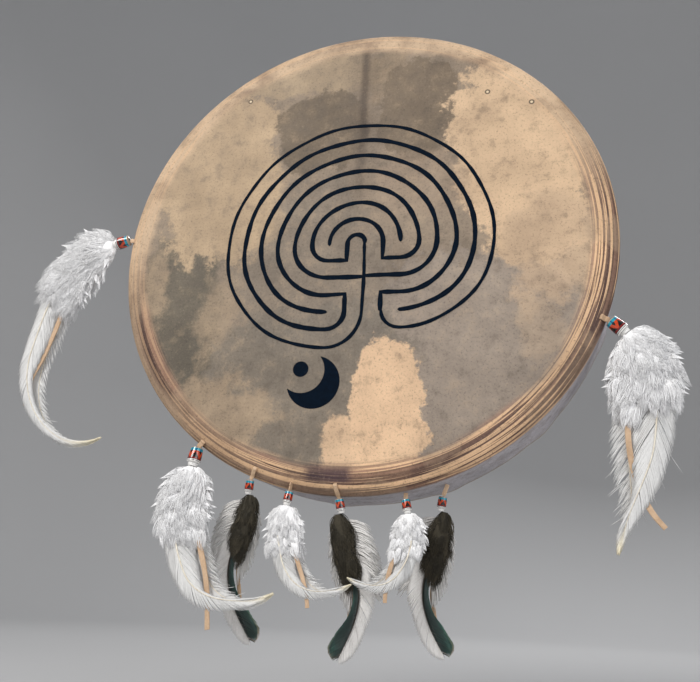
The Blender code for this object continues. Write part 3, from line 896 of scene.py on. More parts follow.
# The lace's way from its hole over the lip: radius, and height over the back
OVER_LIP = ((LACE_HOLE_AT - 0.0012, 0.0016), (LACE_HOLE_AT - 0.0045, 0.0020), (LIP_R - 0.0012, 0.0004),
            (LIP_R - 0.0028, -0.0030), (LIP_R - 0.0045, -0.0062))
LACE_HALF_W = 0.00165
LACE_HALF_T = 0.00105
LACE_TWIST = 26              # radians over the whole run


def make_laces():
    """A twisted rawhide lace from each hole to its grip arm, turned over the lip's cut edge."""
    for arm in ARM_DEGS:
        runs = sorted((deg for deg in lace_degs() if nearest_arm(deg) == arm),
                      key=lambda deg: (deg - arm + 180) % 360)
        last = len(runs) - 1
        for in_fan, deg in enumerate(runs):
            side = (2 * in_fan > last) - (2 * in_fan < last)
            height = -BUNDLE_RISE if in_fan in (0, last) else BUNDLE_RISE
            along = polar(arm, 1.0, 0.0)
            sideways = polar(arm + 90, 1.0, 0.0) * BUNDLE_ACROSS * side
            bundle = [along * (GRIP_ARM + reach) + sideways * spread + Vector((0, height, 0))
                      for reach, spread in BUNDLE_STATIONS]
            hole = [polar(deg, LACE_HOLE_AT - inward, BACK_Y - ahead) for inward, ahead in HOLE_STATIONS]
            over = [polar(deg, radius, BACK_Y + rise) for radius, rise in OVER_LIP]
            middle = bundle[-1].lerp(hole[0], 0.5)
            route = spline_points(bundle + [middle] + hole[:-1] + over, 110)
            number = lace_degs().index(deg) + 1

            def ring_at(share, number=number):
                spin = share * LACE_TWIST + number
                return oval(LACE_HALF_W, LACE_HALF_T, 12, spin, 2.8)

            name = "lace_run_%02d" % number
            lace = swept(name + "_twist", route, ring_at, LACE_SKIN)
            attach(lace, "drum")
            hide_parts(name)


ARM_START = 0.0055
STRIP_LEAD = 0.0085          # from one turn of the grip's leather to the next


def wound_arm(name, direction, phase):
    """An arm wound with a flat strip: each turn overlaps the one before, so its edge stands up."""
    verts = []
    up = Vector((0, 1, 0))
    side = direction.cross(up)
    steps = int((GRIP_ARM - ARM_START) / 0.0005)
    sides = 32
    for i in range(steps + 1):
        along = ARM_START + (GRIP_ARM - ARM_START) * i / steps
        near_end = min(i, steps - i)
        round_off = math.sqrt(max(0.0, 1 - (1 - min(near_end / 6, 1.0)) ** 2))
        for j in range(sides):
            turn = math.tau * j / sides
            saw = (along / STRIP_LEAD + j / sides + phase) % 1.0
            lift = 0.00075 * (smooth(0.0, 0.10, saw) * (1.0 - 0.75 * saw))
            lump = 0.0002 * math.sin(turn * 3 + along * 260 + phase * 5)
            r = (GRIP_R - 0.0006 + lift + lump) * (0.62 + 0.38 * round_off)
            verts.append(direction * along + up * (r * math.sin(turn)) + side * (r * math.cos(turn)))
    return add_mesh(name, verts, tube_faces(steps + 1, sides), GRIP_SKIN, sharp_deg=30)


CORD_R = 0.0009              # of the grip's bindings


def make_grip():
    """Leather wound round the four arms, bound crosswise over the middle."""
    pieces = []
    for number, arm in enumerate(ARM_DEGS):
        direction = polar(arm, 1.0, 0.0)
        pieces.append(wound_arm("grip_arm_%d" % (number + 1), direction, number * 0.37))
        collar = []
        for turn in range(3):
            reach = GRIP_ARM - 0.006 - turn * 0.0022
            loop = []
            for j in range(41):
                spin = math.tau * j / 40
                loop.append(direction * (reach + 0.0022 * j / 40)
                            + (Vector((0, math.sin(spin), 0)) + polar(arm + 90, math.cos(spin), 0.0))
                            * (GRIP_R + CORD_R - 0.0001))
            collar += loop[:-1] if turn < 2 else loop
        cord = swept("grip_binding_%d" % (number + 1), collar,
                     lambda s: oval(CORD_R, CORD_R, 8), LACE_SKIN)
        pieces.append(cord)
    for number in range(8):
        deg = 45 if number % 2 else 135
        layer = number // 2
        bow = 0.0075 + 0.0010 * layer
        shift = (layer - 1.5) * 0.0046
        loop = []
        for j in range(49):
            spin = math.tau * j / 48
            out = polar(deg, (HUB_HALF + 0.0048) * math.cos(spin), 0.0)
            loop.append(out + polar(deg + 90, shift * (0.75 + 0.25 * math.cos(2 * spin)), 0.0)
                        + Vector((0, (bow - 0.0002 * (number % 2)) * math.sin(spin), 0)))
        strap = swept("grip_wrap_%d" % (number + 1), loop,
                      lambda s: oval(0.00245, 0.0007, 12, 0.0, 4.0), GRIP_SKIN)
        pieces.append(strap)
    for piece in pieces:
        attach(piece, "drum")
    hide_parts("hand_grip")


make_laces()
make_grip()


# ---------------------------------------------------------------- thongs, beads and cuffs
def bead_material(name, length):
    """Glazed bead: a tan lip, a turquoise cap, black with orange flames, a red band and rings."""
    tree = Tree(name, roughness=0.16, Coat_Weight=0.6, Coat_Roughness=0.08)
    x, y, z = tree.split()
    t = z / length + (tree.noise(5.0 / length, detail=3.0) - 0.5) * 0.05
    turn = tree.math("ARCTAN2", y, x) / math.tau
    wave = abs(tree.math("FRACT", turn * 4.0 + 10.25) - 0.5)
    flame = tree.step(tree.step(t, 0.76, 0.30, 0.10, 0.47) - wave, -0.02, 0.03)
    notch = tree.step(tree.step(t, 0.26, 0.56, 0.16, 0.0) - wave, 0.02, -0.02)
    hot = tree.mix(tree.noise(9.0 / length, detail=3.0), (0.40, 0.018, 0.006), (0.74, 0.095, 0.016))
    body = tree.mix(flame * notch, (0.008, 0.006, 0.006), hot)
    spots = abs(tree.math("FRACT", turn * 8.0) - 0.5)
    cap = tree.mix(tree.step(spots, 0.16, 0.10), (0.02, 0.33, 0.42), (0.01, 0.09, 0.22))
    colour = tree.mix(tree.step(t, 0.075, 0.085), (0.42, 0.32, 0.24), cap)
    colour = tree.mix(tree.step(t, 0.255, 0.27), colour, body)
    colour = tree.mix(tree.step(t, 0.70, 0.72), colour, (0.22, 0.012, 0.010))
    for low, shade in ((0.80, (0.01, 0.01, 0.01)), (0.84, (0.85, 0.83, 0.80)),
                       (0.885, (0.012, 0.012, 0.015)), (0.925, (0.86, 0.84, 0.81))):
        colour = tree.mix(tree.step(t, low - 0.006, low + 0.006), colour, shade)
    return tree.finish(colour)


BEAD_GLAZE = {size: bead_material("bead_glaze_" + size, BEAD_SIZES[size][0]) for size in BEAD_SIZES}


def quill_material(name, dark, light):
    tree = Tree(name, Specular_IOR_Level=0.5)
    fibres = tree.noise(900.0, tree.stretch((1, 1, 0.15)), detail=3.0)
    tree.bump(fibres, 0.0002, 0.4)
    return tree.finish(tree.ramp(fibres, (0.3, dark), (0.65, light)),
                       tree.step(fibres, 0.3, 0.7, 0.34, 0.5))


QUILL = quill_material("quill", (0.60, 0.52, 0.40), (0.86, 0.81, 0.70))
CUFF = quill_material("quill_white", (0.74, 0.72, 0.69), (0.93, 0.92, 0.90))


def lathe(name, profile, segments, material, sharp_deg=35):
    """A closed (radius, z) profile turned about Z."""
    verts, faces = [], []
    count = len(profile)
    for k in range(segments):
        turn = math.tau * k / segments
        verts += [(r * math.cos(turn), r * math.sin(turn), z) for r, z in profile]
    for k in range(segments):
        n = (k + 1) % segments
        for i in range(count):
            j = (i + 1) % count
            faces.append((k * count + i, k * count + j, n * count + j, n * count + i))
    return add_mesh(name, verts, faces, material, sharp_deg=sharp_deg)


def stand(obj, p, along):
    """Put a turned piece at the bead's mouth plus this distance, its Z down the bead's axis."""
    x = p.ahead
    y = p.bead_axis.cross(x)
    turn = Matrix((x, y, p.bead_axis)).transposed()
    obj.matrix_world = Matrix.Translation(p.mouth + p.bead_axis * along) @ turn.to_4x4()


def face_depth(radius):
    """How far the hide has turned back from the face at this radius."""
    out = min(max((radius - FACE_R) / SHOULDER_W, 0.0), 1.0)
    return SHOULDER_D * (1 - math.sqrt(1 - out * out))


def make_thong(p):
    """The flat strip from its slit in the hide, over the shoulder and into the bead's bore."""
    hole = polar(*p.spec["leaves"], 0.0)
    mouth = p.mouth.copy()
    mouth.y = 0.0
    on_side = p.spec["leaves"][1] > RIM_R
    points = []
    for i in range(9):
        share = i / 8
        point = hole.lerp(mouth, share)
        radius = math.hypot(point.x, point.z)
        point.y = p.y
        if not on_side:
            point.y = min(FRONT_Y + face_depth(radius) - THONG_T * 0.9, p.y)
        points.append(point)
    points[0] += Vector((0, THONG_T * 1.2, 0)) if not on_side else Vector((0, 0, 0.0004))
    points[-1] = p.mouth - p.bead_axis * 0.0004
    wide = THONG_W[p.size] / 2
    bore = BEAD_SIZES[p.size][3] * 0.92

    def ring_at(share):
        gather = smooth(0.72, 1.0, share)
        return oval(wide + (bore - wide) * gather, THONG_T / 2 * (1 - 0.45 * gather), 16, 0.0, 4.5)

    route = spline_points(points, 33)
    strip = swept(p.name + "_thong_strip", route, ring_at, THONG_LEATHER)
    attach(strip, p.name + "_hanger")
    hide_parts(p.name + "_thong")
    if not on_side:
        make_slit(p, hole, mouth)


def make_slit(p, hole, mouth):
    """The hide's raised lips at the slit that the thong comes out of."""
    along = (mouth - hole).normalized()
    across = Vector((along.z, 0, -along.x))
    centre = hole - along * 0.0006
    centre.y = FRONT_Y + face_depth(math.hypot(centre.x, centre.z)) - 0.0001
    half = THONG_W[p.size] / 2 + 0.0009
    points = [centre + across * (half * math.sin(math.radians(-80 + 16 * i)))
              - along * (0.0011 * math.cos(math.radians(-80 + 16 * i))) for i in range(11)]
    lip = swept(p.name + "_slit", points, lambda s: oval(0.00045, 0.00035, 8), HIDE)
    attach(lip, "drum")


def make_beads():
    for p in PIECES:
        length, mouth_r, foot_r, bore_r = BEAD_SIZES[p.size]
        rings = []
        for i in range(25):
            t = i / 24
            r = mouth_r + (foot_r - mouth_r) * t
            rounding = math.sqrt(max(0.0, 1 - max(0.0, 1 - t / 0.06, (t - 0.94) / 0.06) ** 2))
            groove = 0.045 * sum(math.exp(-((t - at) / 0.012) ** 2) for at in (0.10, 0.262, 0.82, 0.885))
            r *= (0.84 + 0.16 * rounding) * (1 + 0.03 * math.sin(math.pi * t) - groove)
            rings.append((r, t * length))
        profile = rings + [(bore_r, length), (bore_r, 0.0)]
        bead = lathe(p.name + "_glazed_bead", profile, 48, BEAD_GLAZE[p.size])
        stand(bead, p, 0.0)
        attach(bead, p.body)
        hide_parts(p.name + "_bead")

        cuff_r = foot_r * 0.72
        cuff_l = CUFF_L[p.size] * 0.8
        walls = [(cuff_r * (1.0 - 0.15 * i / 6 + 0.035 * (i % 2)), cuff_l * i / 6) for i in range(7)]
        cuff = lathe(p.name + "_cuff", [(cuff_r * 0.4, 0.0)] + walls + [(cuff_r * 0.3, cuff_l)], 32, CUFF)
        stand(cuff, p, length + GAP)
        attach(cuff, p.body)

        make_thong(p)


make_beads()


# ---------------------------------------------------------------- feathers
def barb_material(name, shadow, middle, light, roughness=0.75, tip=None, **constants):
    """Feather barbs: the mesh's own tone runs from root to tip, broken up by fine noise."""
    tree = Tree(name, roughness=roughness, **constants)
    fine = tree.noise(700.0, detail=2.0)
    broad = tree.noise(90.0, detail=3.0)
    tone = tree.attribute("tone") + (fine - 0.5) * 0.35 + (broad - 0.5) * 0.35
    colour = tree.ramp(tone, (0.0, shadow), (0.5, middle), (1.0, light))
    if tip:
        colour = tree.mix(tree.attribute("tip"), colour, tip)
    tree.bump(fine, 0.0003, 0.3)
    return tree.finish(colour)


WHITE_DOWN = barb_material("white_down", (0.88, 0.875, 0.88), (0.955, 0.95, 0.955), (0.975, 0.97, 0.975),
                           roughness=0.9, Sheen_Weight=0.3)
WHITE_VANE = barb_material("white_vane", (0.50, 0.495, 0.49), (0.70, 0.695, 0.685), (0.82, 0.815, 0.805),
                           roughness=0.6, tip=(0.86, 0.77, 0.55))
DARK_DOWN = barb_material("dark_down", (0.012, 0.010, 0.007), (0.036, 0.030, 0.018), (0.095, 0.078, 0.050),
                          roughness=0.9)
GREY_BARBS = barb_material("grey_barbs", (0.10, 0.085, 0.070), (0.52, 0.49, 0.46), (0.82, 0.80, 0.775),
                           tip=(0.16, 0.13, 0.11))
GREEN_VANE = barb_material("green_vane", (0.005, 0.009, 0.009), (0.010, 0.035, 0.029), (0.05, 0.20, 0.15),
                           roughness=0.32, tip=(0.42, 0.30, 0.20), Sheen_Weight=0.1, Coat_Weight=0.25,
                           Coat_Roughness=0.25)
SHAFT_DARK = leather("dark_shaft", (0.010, 0.008, 0.006), (0.05, 0.035, 0.02), roughness=0.4)


def set_point_values(mesh, **layers):
    """Float attributes of the mesh's points, for its material to read."""
    for key, values in layers.items():
        mesh.attributes.new(key, "FLOAT", "POINT").data.foreach_set("value", values)


class Barbs:
    """Many thin tapered barbs in one mesh; each is closed, with a flattened three-sided section."""

    def __init__(self, name, material, slot_name):
        self.name = name
        self.material = material
        self.slot_name = slot_name
        self.verts, self.faces, self.tones, self.tips = [], [], [], []

    def add(self, points, width, face, tones, tip=0.0, blunt=0.25, thick=0.22):
        first = len(self.verts)
        count = len(points)
        for i in range(count):
            axis = points[min(i + 1, count - 1)] - points[max(i - 1, 0)]
            side = axis.cross(face)
            size = side.length
            if size < 1e-12:
                side = Vector((1, 0, 0))
                size = 1.0
            side = side / size
            share = i / (count - 1)
            half = width / 2 * (1.0 - (1.0 - blunt) * share * share)
            lift = face * (width * thick * (1.0 - 0.6 * share))
            point = points[i]
            self.verts += [point - side * half, point + side * half, point + lift]
            tone = tones[0] + (tones[1] - tones[0]) * share
            self.tones += [tone] * 3
            self.tips += [tip] * 3
        for i in range(count - 1):
            a, b = first + 3 * i, first + 3 * i + 3
            self.faces += [(a, a + 1, b + 1, b), (a + 1, a + 2, b + 2, b + 1), (a + 2, a, b, b + 2)]
        self.faces.append((first + 2, first + 1, first))
        last = first + 3 * (count - 1)
        self.faces.append((last, last + 1, last + 2))

    def make(self, body):
        mesh = bpy.data.meshes.new(self.name)
        mesh.from_pydata([tuple(v) for v in self.verts], [], self.faces)
        mesh.shade_smooth()
        set_point_values(mesh, tone=self.tones, tip=self.tips)
        mesh.materials.append(self.material)
        obj = put_in_scene(self.name, mesh)
        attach(obj, body)
        return obj


# The down's half width along its length, as shares
PLUME_STATIONS = ((0.0, 0.24), (0.05, 0.54), (0.14, 0.80), (0.32, 0.98), (0.54, 1.0), (0.78, 0.87),
                  (1.0, 0.60))
BARB_W = {"tuft": 0.00062, "comb": 0.00085, "stray": 0.0005}


def plump(share, least):
    """How thick the down is at this share of its length: full in the middle, least at the ends."""
    return least + (1 - least) * math.sin(math.pi * min(share * 0.9 + 0.08, 1.0))


def down_core(p, material, share_wide, ahead_share, off_centre=0.0):
    """The dense middle of the down, under its tufts."""
    half_width, half_thickness = p.spec["down_half"]
    rng = random.Random("core " + p.name)
    offset = p.inner * half_width * off_centre
    verts = []
    sides, steps = 24, 26
    waves = [(rng.randint(2, 6), rng.uniform(0, math.tau)) for _ in range(4)]
    for i in range(steps + 1):
        share = i / steps
        point, along, aside = p.on(p.down_line, share * 0.86)
        wide = read_curve(PLUME_STATIONS, share) * half_width * share_wide
        thick = half_thickness * ahead_share * plump(share, 0.35)
        if i == steps:
            wide *= 0.3
            thick *= 0.3
        for j in range(sides):
            turn = math.tau * j / sides
            lump = 1 + 0.06 * sum(math.sin(n * turn + s + share * 9) for n, s in waves)
            verts.append(point + aside * (wide * math.cos(turn) * lump + offset)
                         + p.ahead * (thick * math.sin(turn) * lump))
    core = add_mesh(p.name + "_down_core", verts, tube_faces(steps + 1, sides), material, sharp_deg=80)
    set_point_values(core.data, tone=[0.55] * len(verts), tip=[0.0] * len(verts))
    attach(core, p.body)


def down_tufts(p, material, slot_name, share_wide, count, reach, splay, strands, tones, off_centre=0.0):
    """Pointed tufts of down, rooted all over the core and laid outwards and downwards."""
    half_width, half_thickness = p.spec["down_half"]
    length = p.spec["down"][0]
    rng = random.Random("tufts " + p.name)
    barbs = Barbs(p.name + "_down_tufts", material, slot_name)
    barb_w = BARB_W["tuft"] * p.scale ** 0.5
    offset = p.inner * half_width * off_centre
    fringe = count // 7
    over_tail = 5 if p.kind == "white" else 0
    for number in range(count + fringe + over_tail):
        share = min(0.90, ((number + rng.random()) / count) ** 0.92 * 0.92)
        spin = rng.uniform(0, math.tau)
        if number >= count:      # over the roots of the feathers and the thong's tail
            share = rng.uniform(0.58, 0.93)
            spin = rng.uniform(0.12, 0.88) * math.pi
        if share > 0.70 and math.cos(spin) * p.inner < 0.15:      # the outer feather's root shows
            share *= 0.86
        if number >= count + fringe:
            share, spin = rng.uniform(0.78, 0.97), math.pi / 2
        point, along, aside = p.on(p.down_line, share)
        wide = read_curve(PLUME_STATIONS, share) * half_width * share_wide
        thick = half_thickness * plump(share, 0.25)
        deep = rng.uniform(0.30, 0.72)
        root = point + aside * (wide * deep * math.cos(spin) + offset)
        root += p.ahead * (thick * min(deep, 0.55) * math.sin(spin))
        if number >= count:
            root = point + aside * (wide * rng.uniform(0.35, 0.85) * math.cos(spin) + offset)
            root += p.ahead * (half_thickness * rng.uniform(0.30, 0.60))
        if number >= count + fringe:
            root = point + aside * (p.spec["tail_aside"] + rng.uniform(-0.8, 0.8) * THONG_W[p.size])
            root += p.ahead * (TAIL_AHEAD[p.kind] + rng.uniform(0.0, 0.0011))
        edge = abs(math.cos(spin))
        outward = (aside * math.cos(spin) + p.ahead * (math.sin(spin) * 0.30)).normalized()
        lean = splay * (0.40 + 0.85 * edge * rng.uniform(0.6, 1.2)) * (1.30 - 0.95 * share)
        direction = (along + outward * lean).normalized()
        cross = direction.cross(p.ahead).normalized()
        face = cross.cross(direction).normalized()
        if face.dot(p.ahead) * (1 if math.sin(spin) >= 0 else -1) < 0:
            face = -face
        tuft = length * reach * rng.uniform(0.75, 1.25)
        spread = tuft * rng.uniform(0.18, 0.34)
        bend = along * (tuft * 0.20) - outward * (tuft * rng.uniform(0.0, 0.16))
        curl = cross * (tuft * rng.uniform(-0.20, 0.20))
        tone = rng.uniform(*tones)
        for j in range(strands):
            off = (j + rng.uniform(0.2, 0.8)) / strands * 2 - 1
            own = tuft * (1 - 0.34 * abs(off) ** 1.5 * rng.uniform(0.5, 1.3))
            points = []
            for step in range(5):
                t = step / 4
                fan = spread * off * (0.20 + 1.0 * math.sin(math.pi * min(t * 0.66 + 0.10, 1.0)) - 0.34 * t)
                points.append(root + direction * (own * t) + (bend + curl) * (t * t) + cross * fan)
            barbs.add(points, barb_w, face, (tone - 0.10, tone + rng.uniform(0.10, 0.40)))
    spikes = count // 22 if p.kind == "white" else 0
    for number in range(spikes):
        share = 0.08 + 0.76 * (number + rng.random()) / spikes
        side = rng.choice((-1, 1))
        point, along, aside = p.on(p.down_line, share)
        wide = read_curve(PLUME_STATIONS, share) * half_width * share_wide
        root = point + aside * (side * wide * 0.72 + offset)
        root += p.ahead * (half_thickness * rng.uniform(-0.3, 0.4))
        direction = (aside * side + along * rng.uniform(0.05, 0.65)).normalized()
        cross = direction.cross(p.ahead).normalized()
        tuft = length * rng.uniform(0.11, 0.18)
        for j in range(6):
            off = (j - 2.5) / 2.5
            points = [root + direction * (tuft * t) + cross * (tuft * 0.20 * off * (1 - t))
                      + along * (tuft * 0.16 * t * t) for t in (0.0, 0.35, 0.7, 1.0)]
            barbs.add(points, barb_w, p.ahead, tones)
    piece = barbs.make(p.body)
    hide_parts(p.name + "_down")


def width_at(outline, share):
    """A feather's half-width share; inside the down it narrows towards its root."""
    if share < 0:
        return outline[0][1] * (1 - smooth(0.0, 0.24, -share) * 0.75)
    return read_curve(outline, share)


def vane(barbs, p, outline, half, side, share_of_half, shift, ahead, count, open_deg, rng, close=0.62,
         clump=0.0, tones=(0.35, 0.9), width=0.0009, tip_from=2.0, span=(0.0, 0.985), camber=0.0,
         ragged=0.06):
    """One side of a feather: barbs from its shaft to the edge, closing towards the tip."""
    start, end = span
    blade = p.spec["blade"][0]
    for i in range(count):
        share = start + (end - start) * (i + 0.5) / count
        angle = math.radians(open_deg * (1 - close * max(share, 0.0)) + rng.uniform(-1.5, 1.5))
        edge = width_at(outline, share) * half * share_of_half * (1 + rng.uniform(-ragged, ragged))
        share -= edge / math.tan(angle) / blade
        point, along, aside = p.feather(share)
        root = point + aside * (shift(share) * half) + p.ahead * ahead(share)
        if clump:
            group = (i % 6) - 2.5
            angle += math.radians(clump * group)
            edge *= 1 + rng.uniform(-clump, clump) * 0.04
        reach = edge / math.sin(angle)
        outward = aside * side
        points = []
        for step in range(5):
            t = step / 4
            bend = angle * (1.25 - 0.27 * t)
            points.append(root + (along * math.cos(bend) + outward * math.sin(bend)) * (reach * t)
                          + p.ahead * (camber * t * t))
        tone = rng.uniform(-0.12, 0.12)
        tip = smooth(tip_from, 1.0, share) if tip_from < 1 else 0.0
        barbs.add(points, width * p.scale ** 0.5, p.ahead, (tones[0] + tone, tones[1] + tone), tip=tip,
                  blunt=0.35, thick=0.16)


def shaft(p, name, shift, half, ahead, radius, material, span=(0.0, 0.97)):
    """The feather's quill, tapering to its tip."""
    start, end = span
    points = []
    for i in range(48):
        share = start + (end - start) * i / 47
        point, along, aside = p.feather(share)
        points.append(point + aside * (shift(share) * half) + p.ahead * (ahead(share) + radius * 0.4))
    piece = swept(name, points, lambda s: oval(radius * (1.05 - 0.85 * s), radius * (0.9 - 0.7 * s), 8),
                  material)
    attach(piece, p.body)


def make_white_feathers(p):
    """Two long hackles: the outer one in front with its shaft, the inner one combed open."""
    rng = random.Random("hackle " + p.name)
    half = p.spec["blade_half"]
    inner = p.inner

    def outer_shift(share):
        return -inner * 0.40 * (1 - smooth(0.2, 0.75, share)) * (1 + 0.4 * min(share, 0.0))

    def inner_shift(share):
        return inner * 0.42 * (1 - smooth(0.15, 0.70, share)) * (1 + 0.4 * min(share, 0.0))

    def front(share):
        return 0.0036 + 0.0026 * smooth(-0.12, 0.10, share) - 0.0034 * smooth(0.6, 1.0, share)

    def rear(share):
        return 0.0002 + 0.0012 * smooth(0.5, 1.0, share)

    into = 0.42 * p.spec["down"][0] / p.spec["blade"][0]
    count = int(190 * (p.spec["blade"][0] / 0.12) ** 0.6)
    dense = int(count * 1.6)
    span = (-into, 1.0)

    back = Barbs(p.name + "_inner_feather", WHITE_VANE, "white_hackle")
    vane(back, p, HACKLE_STATIONS, half, inner, 0.60, inner_shift, rear, count, 38, rng, clump=2.0,
         tip_from=0.72, camber=-0.0010, ragged=0.14, span=span)
    vane(back, p, HACKLE_STATIONS, half, -inner, 0.86, inner_shift, rear, dense, 32, rng, tip_from=0.72,
         span=span)
    piece = back.make(p.body)
    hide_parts(p.name + "_feathers")
    front_barbs = Barbs(p.name + "_outer_feather", WHITE_VANE, "white_hackle")
    vane(front_barbs, p, HACKLE_STATIONS, half, -inner, 0.62, outer_shift, front, dense, 30, rng,
         tip_from=0.72, camber=-0.0012, width=0.0011, span=span)
    vane(front_barbs, p, HACKLE_STATIONS, half, inner, 0.86, outer_shift, front, dense, 30, rng,
         tip_from=0.72, camber=-0.0012, width=0.0011, ragged=0.08, span=span)
    for _ in range(int(14 * p.scale)):
        share = rng.uniform(0.05, 0.75)
        side = rng.choice((-1, 1))
        point, along, aside = p.feather(share)
        wide = read_curve(HACKLE_STATIONS, share) * half
        root = point + aside * (side * wide * 0.5) + p.ahead * 0.001
        lean = rng.uniform(0.25, 0.8)
        points = [root + (along + aside * (side * lean)) * (wide * 1.1 * t) for t in (0.0, 0.4, 0.75, 1.0)]
        front_barbs.add(points, BARB_W["stray"], p.ahead, (0.5, 0.8))
    front_barbs.make(p.body)
    shaft(p, p.name + "_outer_quill", outer_shift, half, front, 0.00070 * p.scale ** 0.5, QUILL,
          span=(-into, 0.93))
    shaft(p, p.name + "_inner_quill", inner_shift, half, rear, 0.0006 * p.scale ** 0.5, QUILL,
          span=(-into, 0.93))


GREEN_OUTLINE = ((0.0, 0.50), (0.2, 0.56), (0.4, 0.72), (0.6, 1.02), (0.78, 1.18), (0.88, 1.10), (0.95, 0.80),
                 (0.985, 0.45), (1.0, 0.15))
GREY_OUTLINE = ((0.0, 1.25), (0.2, 1.10), (0.45, 0.92), (0.7, 0.92), (0.86, 0.84), (0.95, 0.56), (1.0, 0.14))


def make_dark_feathers(p):
    """Pale combed barbs beside the down, then a two-coloured feather: green one side, grey the other."""
    rng = random.Random("sickle " + p.name)
    half = p.spec["blade_half"]
    inner = p.inner
    half_width = p.spec["down_half"][0]
    comb = Barbs(p.name + "_comb", GREY_BARBS, "dark_hackle")
    for side, count, reach, open_deg in ((-inner, 260, 1.26, 82), (inner, 140, 0.98, 60)):
        for i in range(count):
            share = 0.10 + 0.88 * (i + rng.random()) / count
            point, along, aside = p.on(p.down_line, share)
            wide = half_width * reach * (0.50 + 0.50 * math.sin(math.pi * min(share * 0.75 + 0.10, 1.0)))
            angle = math.radians(open_deg * (1 - 0.52 * share) + (i % 5 - 2) * 3.2 + rng.uniform(-3, 3))
            length = min(wide / math.sin(angle), 0.024) * rng.uniform(0.84, 1.08)
            root = point + aside * (side * half_width * 0.10) + p.ahead * rng.uniform(-0.0024, -0.0008)
            points = []
            for step in range(5):
                t = step / 4
                bend = angle * (1.15 - 0.35 * t)
                points.append(root + (along * math.cos(bend)
                                      + aside * (side * math.sin(bend))) * (length * t))
            tones = (0.65, 1.25) if side == -inner else (0.45, 1.05)
            comb.add(points, BARB_W["comb"], p.ahead, tones, blunt=0.5)
    comb.make(p.body)

    into = 0.40 * p.spec["down"][0] / p.spec["blade"][0]

    def level(height):
        return lambda share: height

    def shift(share):
        return -inner * 0.06 * (1 - share)

    green = Barbs(p.name + "_green_vane", GREEN_VANE, "dark_hackle")
    vane(green, p, GREEN_OUTLINE, half, inner, 0.94, shift, level(0.0002), 240, 38, rng, close=0.12,
         tones=(0.15, 0.62), width=0.0010, ragged=0.03, span=(-into, 0.995))
    green.make(p.body)
    edge = Barbs(p.name + "_tan_edge", GREEN_VANE, "dark_hackle")
    vane(edge, p, GREEN_OUTLINE, half, inner, 1.09, shift, level(-0.0005), 110, 38, rng, close=0.12,
         tones=(0.5, 0.9), width=0.0009, tip_from=0.30, span=(0.62, 0.995), ragged=0.04)
    edge.make(p.body)
    grey = Barbs(p.name + "_grey_vane", GREY_BARBS, "dark_hackle")
    vane(grey, p, GREY_OUTLINE, half, -inner, 0.95, shift, level(-0.0002), 260, 36, rng, close=0.15,
         clump=0.4, tones=(0.80, 1.05), width=0.0012, ragged=0.05, span=(-into, 0.99))
    piece = grey.make(p.body)
    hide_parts(p.name + "_feathers")
    shaft(p, p.name + "_quill", shift, half, level(0.0006), 0.00055, SHAFT_DARK,
          span=(-into, 0.97))


def make_feathers():
    for p in PIECES:
        if p.kind == "white":
            down_core(p, WHITE_DOWN, 0.62, 0.55)
            down_tufts(p, WHITE_DOWN, "white_down", 0.92, 760 if p.size == "large" else 400, 0.21, 0.86, 9,
                       (0.55, 0.95))
            make_white_feathers(p)
        else:
            down_core(p, DARK_DOWN, 0.32, 0.55, 0.16)
            down_tufts(p, DARK_DOWN, "dark_down", 0.50, 230, 0.22, 0.46, 7, (0.25, 0.75), 0.16)
            make_dark_feathers(p)


make_feathers()


# ---------------------------------------------------------------- stage and light
FLOOR_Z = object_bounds()[0][2] - 0.045      # a little below the longest feather
FLOOR_R = 1.6
COVE_R = 0.9
WALL_TOP = 3.2


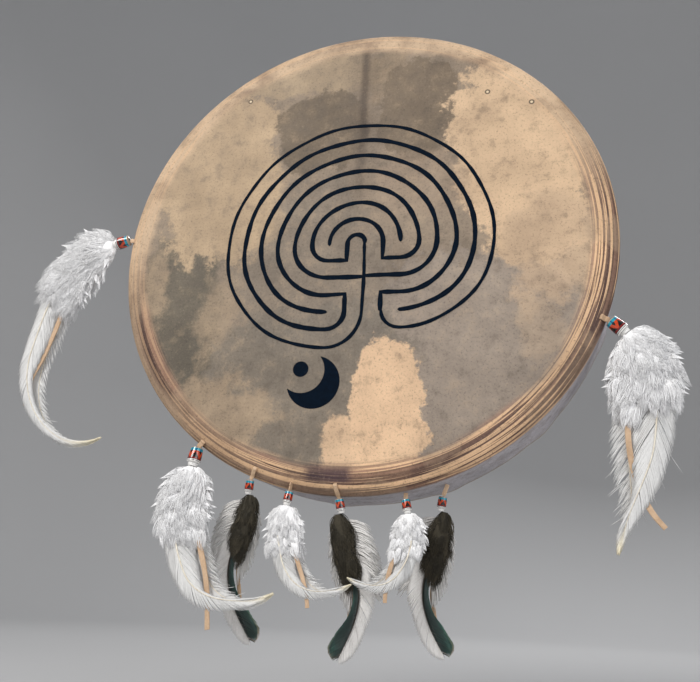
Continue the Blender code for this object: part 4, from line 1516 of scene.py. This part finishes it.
def make_stage():
    """A pale floor that curves up into a wall all round."""
    tree = Tree("stage", roughness=0.9)
    soft = tree.noise(0.8, detail=2.0)
    material = tree.finish(tree.mix(soft, (0.37, 0.37, 0.375), (0.41, 0.41, 0.415)))
    profile = [(0.0, 0.0), (FLOOR_R, 0.0)]
    profile += [(FLOOR_R + COVE_R * math.sin(math.radians(a)), COVE_R - COVE_R * math.cos(math.radians(a)))
                for a in range(6, 91, 6)]
    profile.append((FLOOR_R + COVE_R, WALL_TOP))
    verts, faces = [Vector((0, 0, FLOOR_Z))], []
    segments = 96
    for r, z in profile[1:]:
        turns = [math.tau * k / segments for k in range(segments)]
        verts += [Vector((r * math.cos(turn), r * math.sin(turn), FLOOR_Z + z)) for turn in turns]
    for k in range(segments):
        n = (k + 1) % segments
        faces.append((0, 1 + k, 1 + n))
        for i in range(len(profile) - 2):
            a, b = 1 + i * segments, 1 + (i + 1) * segments
            faces.append((a + k, b + k, b + n, a + n))
    mesh = bpy.data.meshes.new("stage")
    mesh.from_pydata([tuple(v) for v in verts], [], faces)
    mesh.shade_smooth()
    mesh.materials.append(material)
    floor = put_in_scene("stage", mesh)


def area_light(name, place, target, size, power, colour=(1, 1, 1)):
    data = bpy.data.lights.new(name, "AREA")
    data.shape = "DISK"
    data.size = size
    data.energy = power
    data.color = colour
    light = put_in_scene(name, data)
    light.location = place
    aim = (Vector(target) - Vector(place)).normalized()
    light.rotation_euler = aim.to_track_quat("-Z", "Y").to_euler()


def make_light():
    area_light("key", (-0.9, -1.5, 1.1), (0, 0, 0), 1.1, 34.0, (1.0, 0.985, 0.96))
    area_light("fill", (1.3, -1.2, 0.1), (0, 0, -0.05), 1.4, 13.5, (0.97, 0.98, 1.0))
    area_light("back", (0.4, 1.6, 1.2), (0, 0, 0), 1.2, 24.0)
    world = bpy.data.worlds.new("studio")
    world.use_nodes = True
    world.node_tree.nodes["Background"].inputs["Color"].default_value = (0.95, 0.97, 1.0, 1.0)
    world.node_tree.nodes["Background"].inputs["Strength"].default_value = 0.58
    bpy.context.scene.world = world
    bpy.context.scene.view_settings.view_transform = "Standard"


make_stage()
make_light()
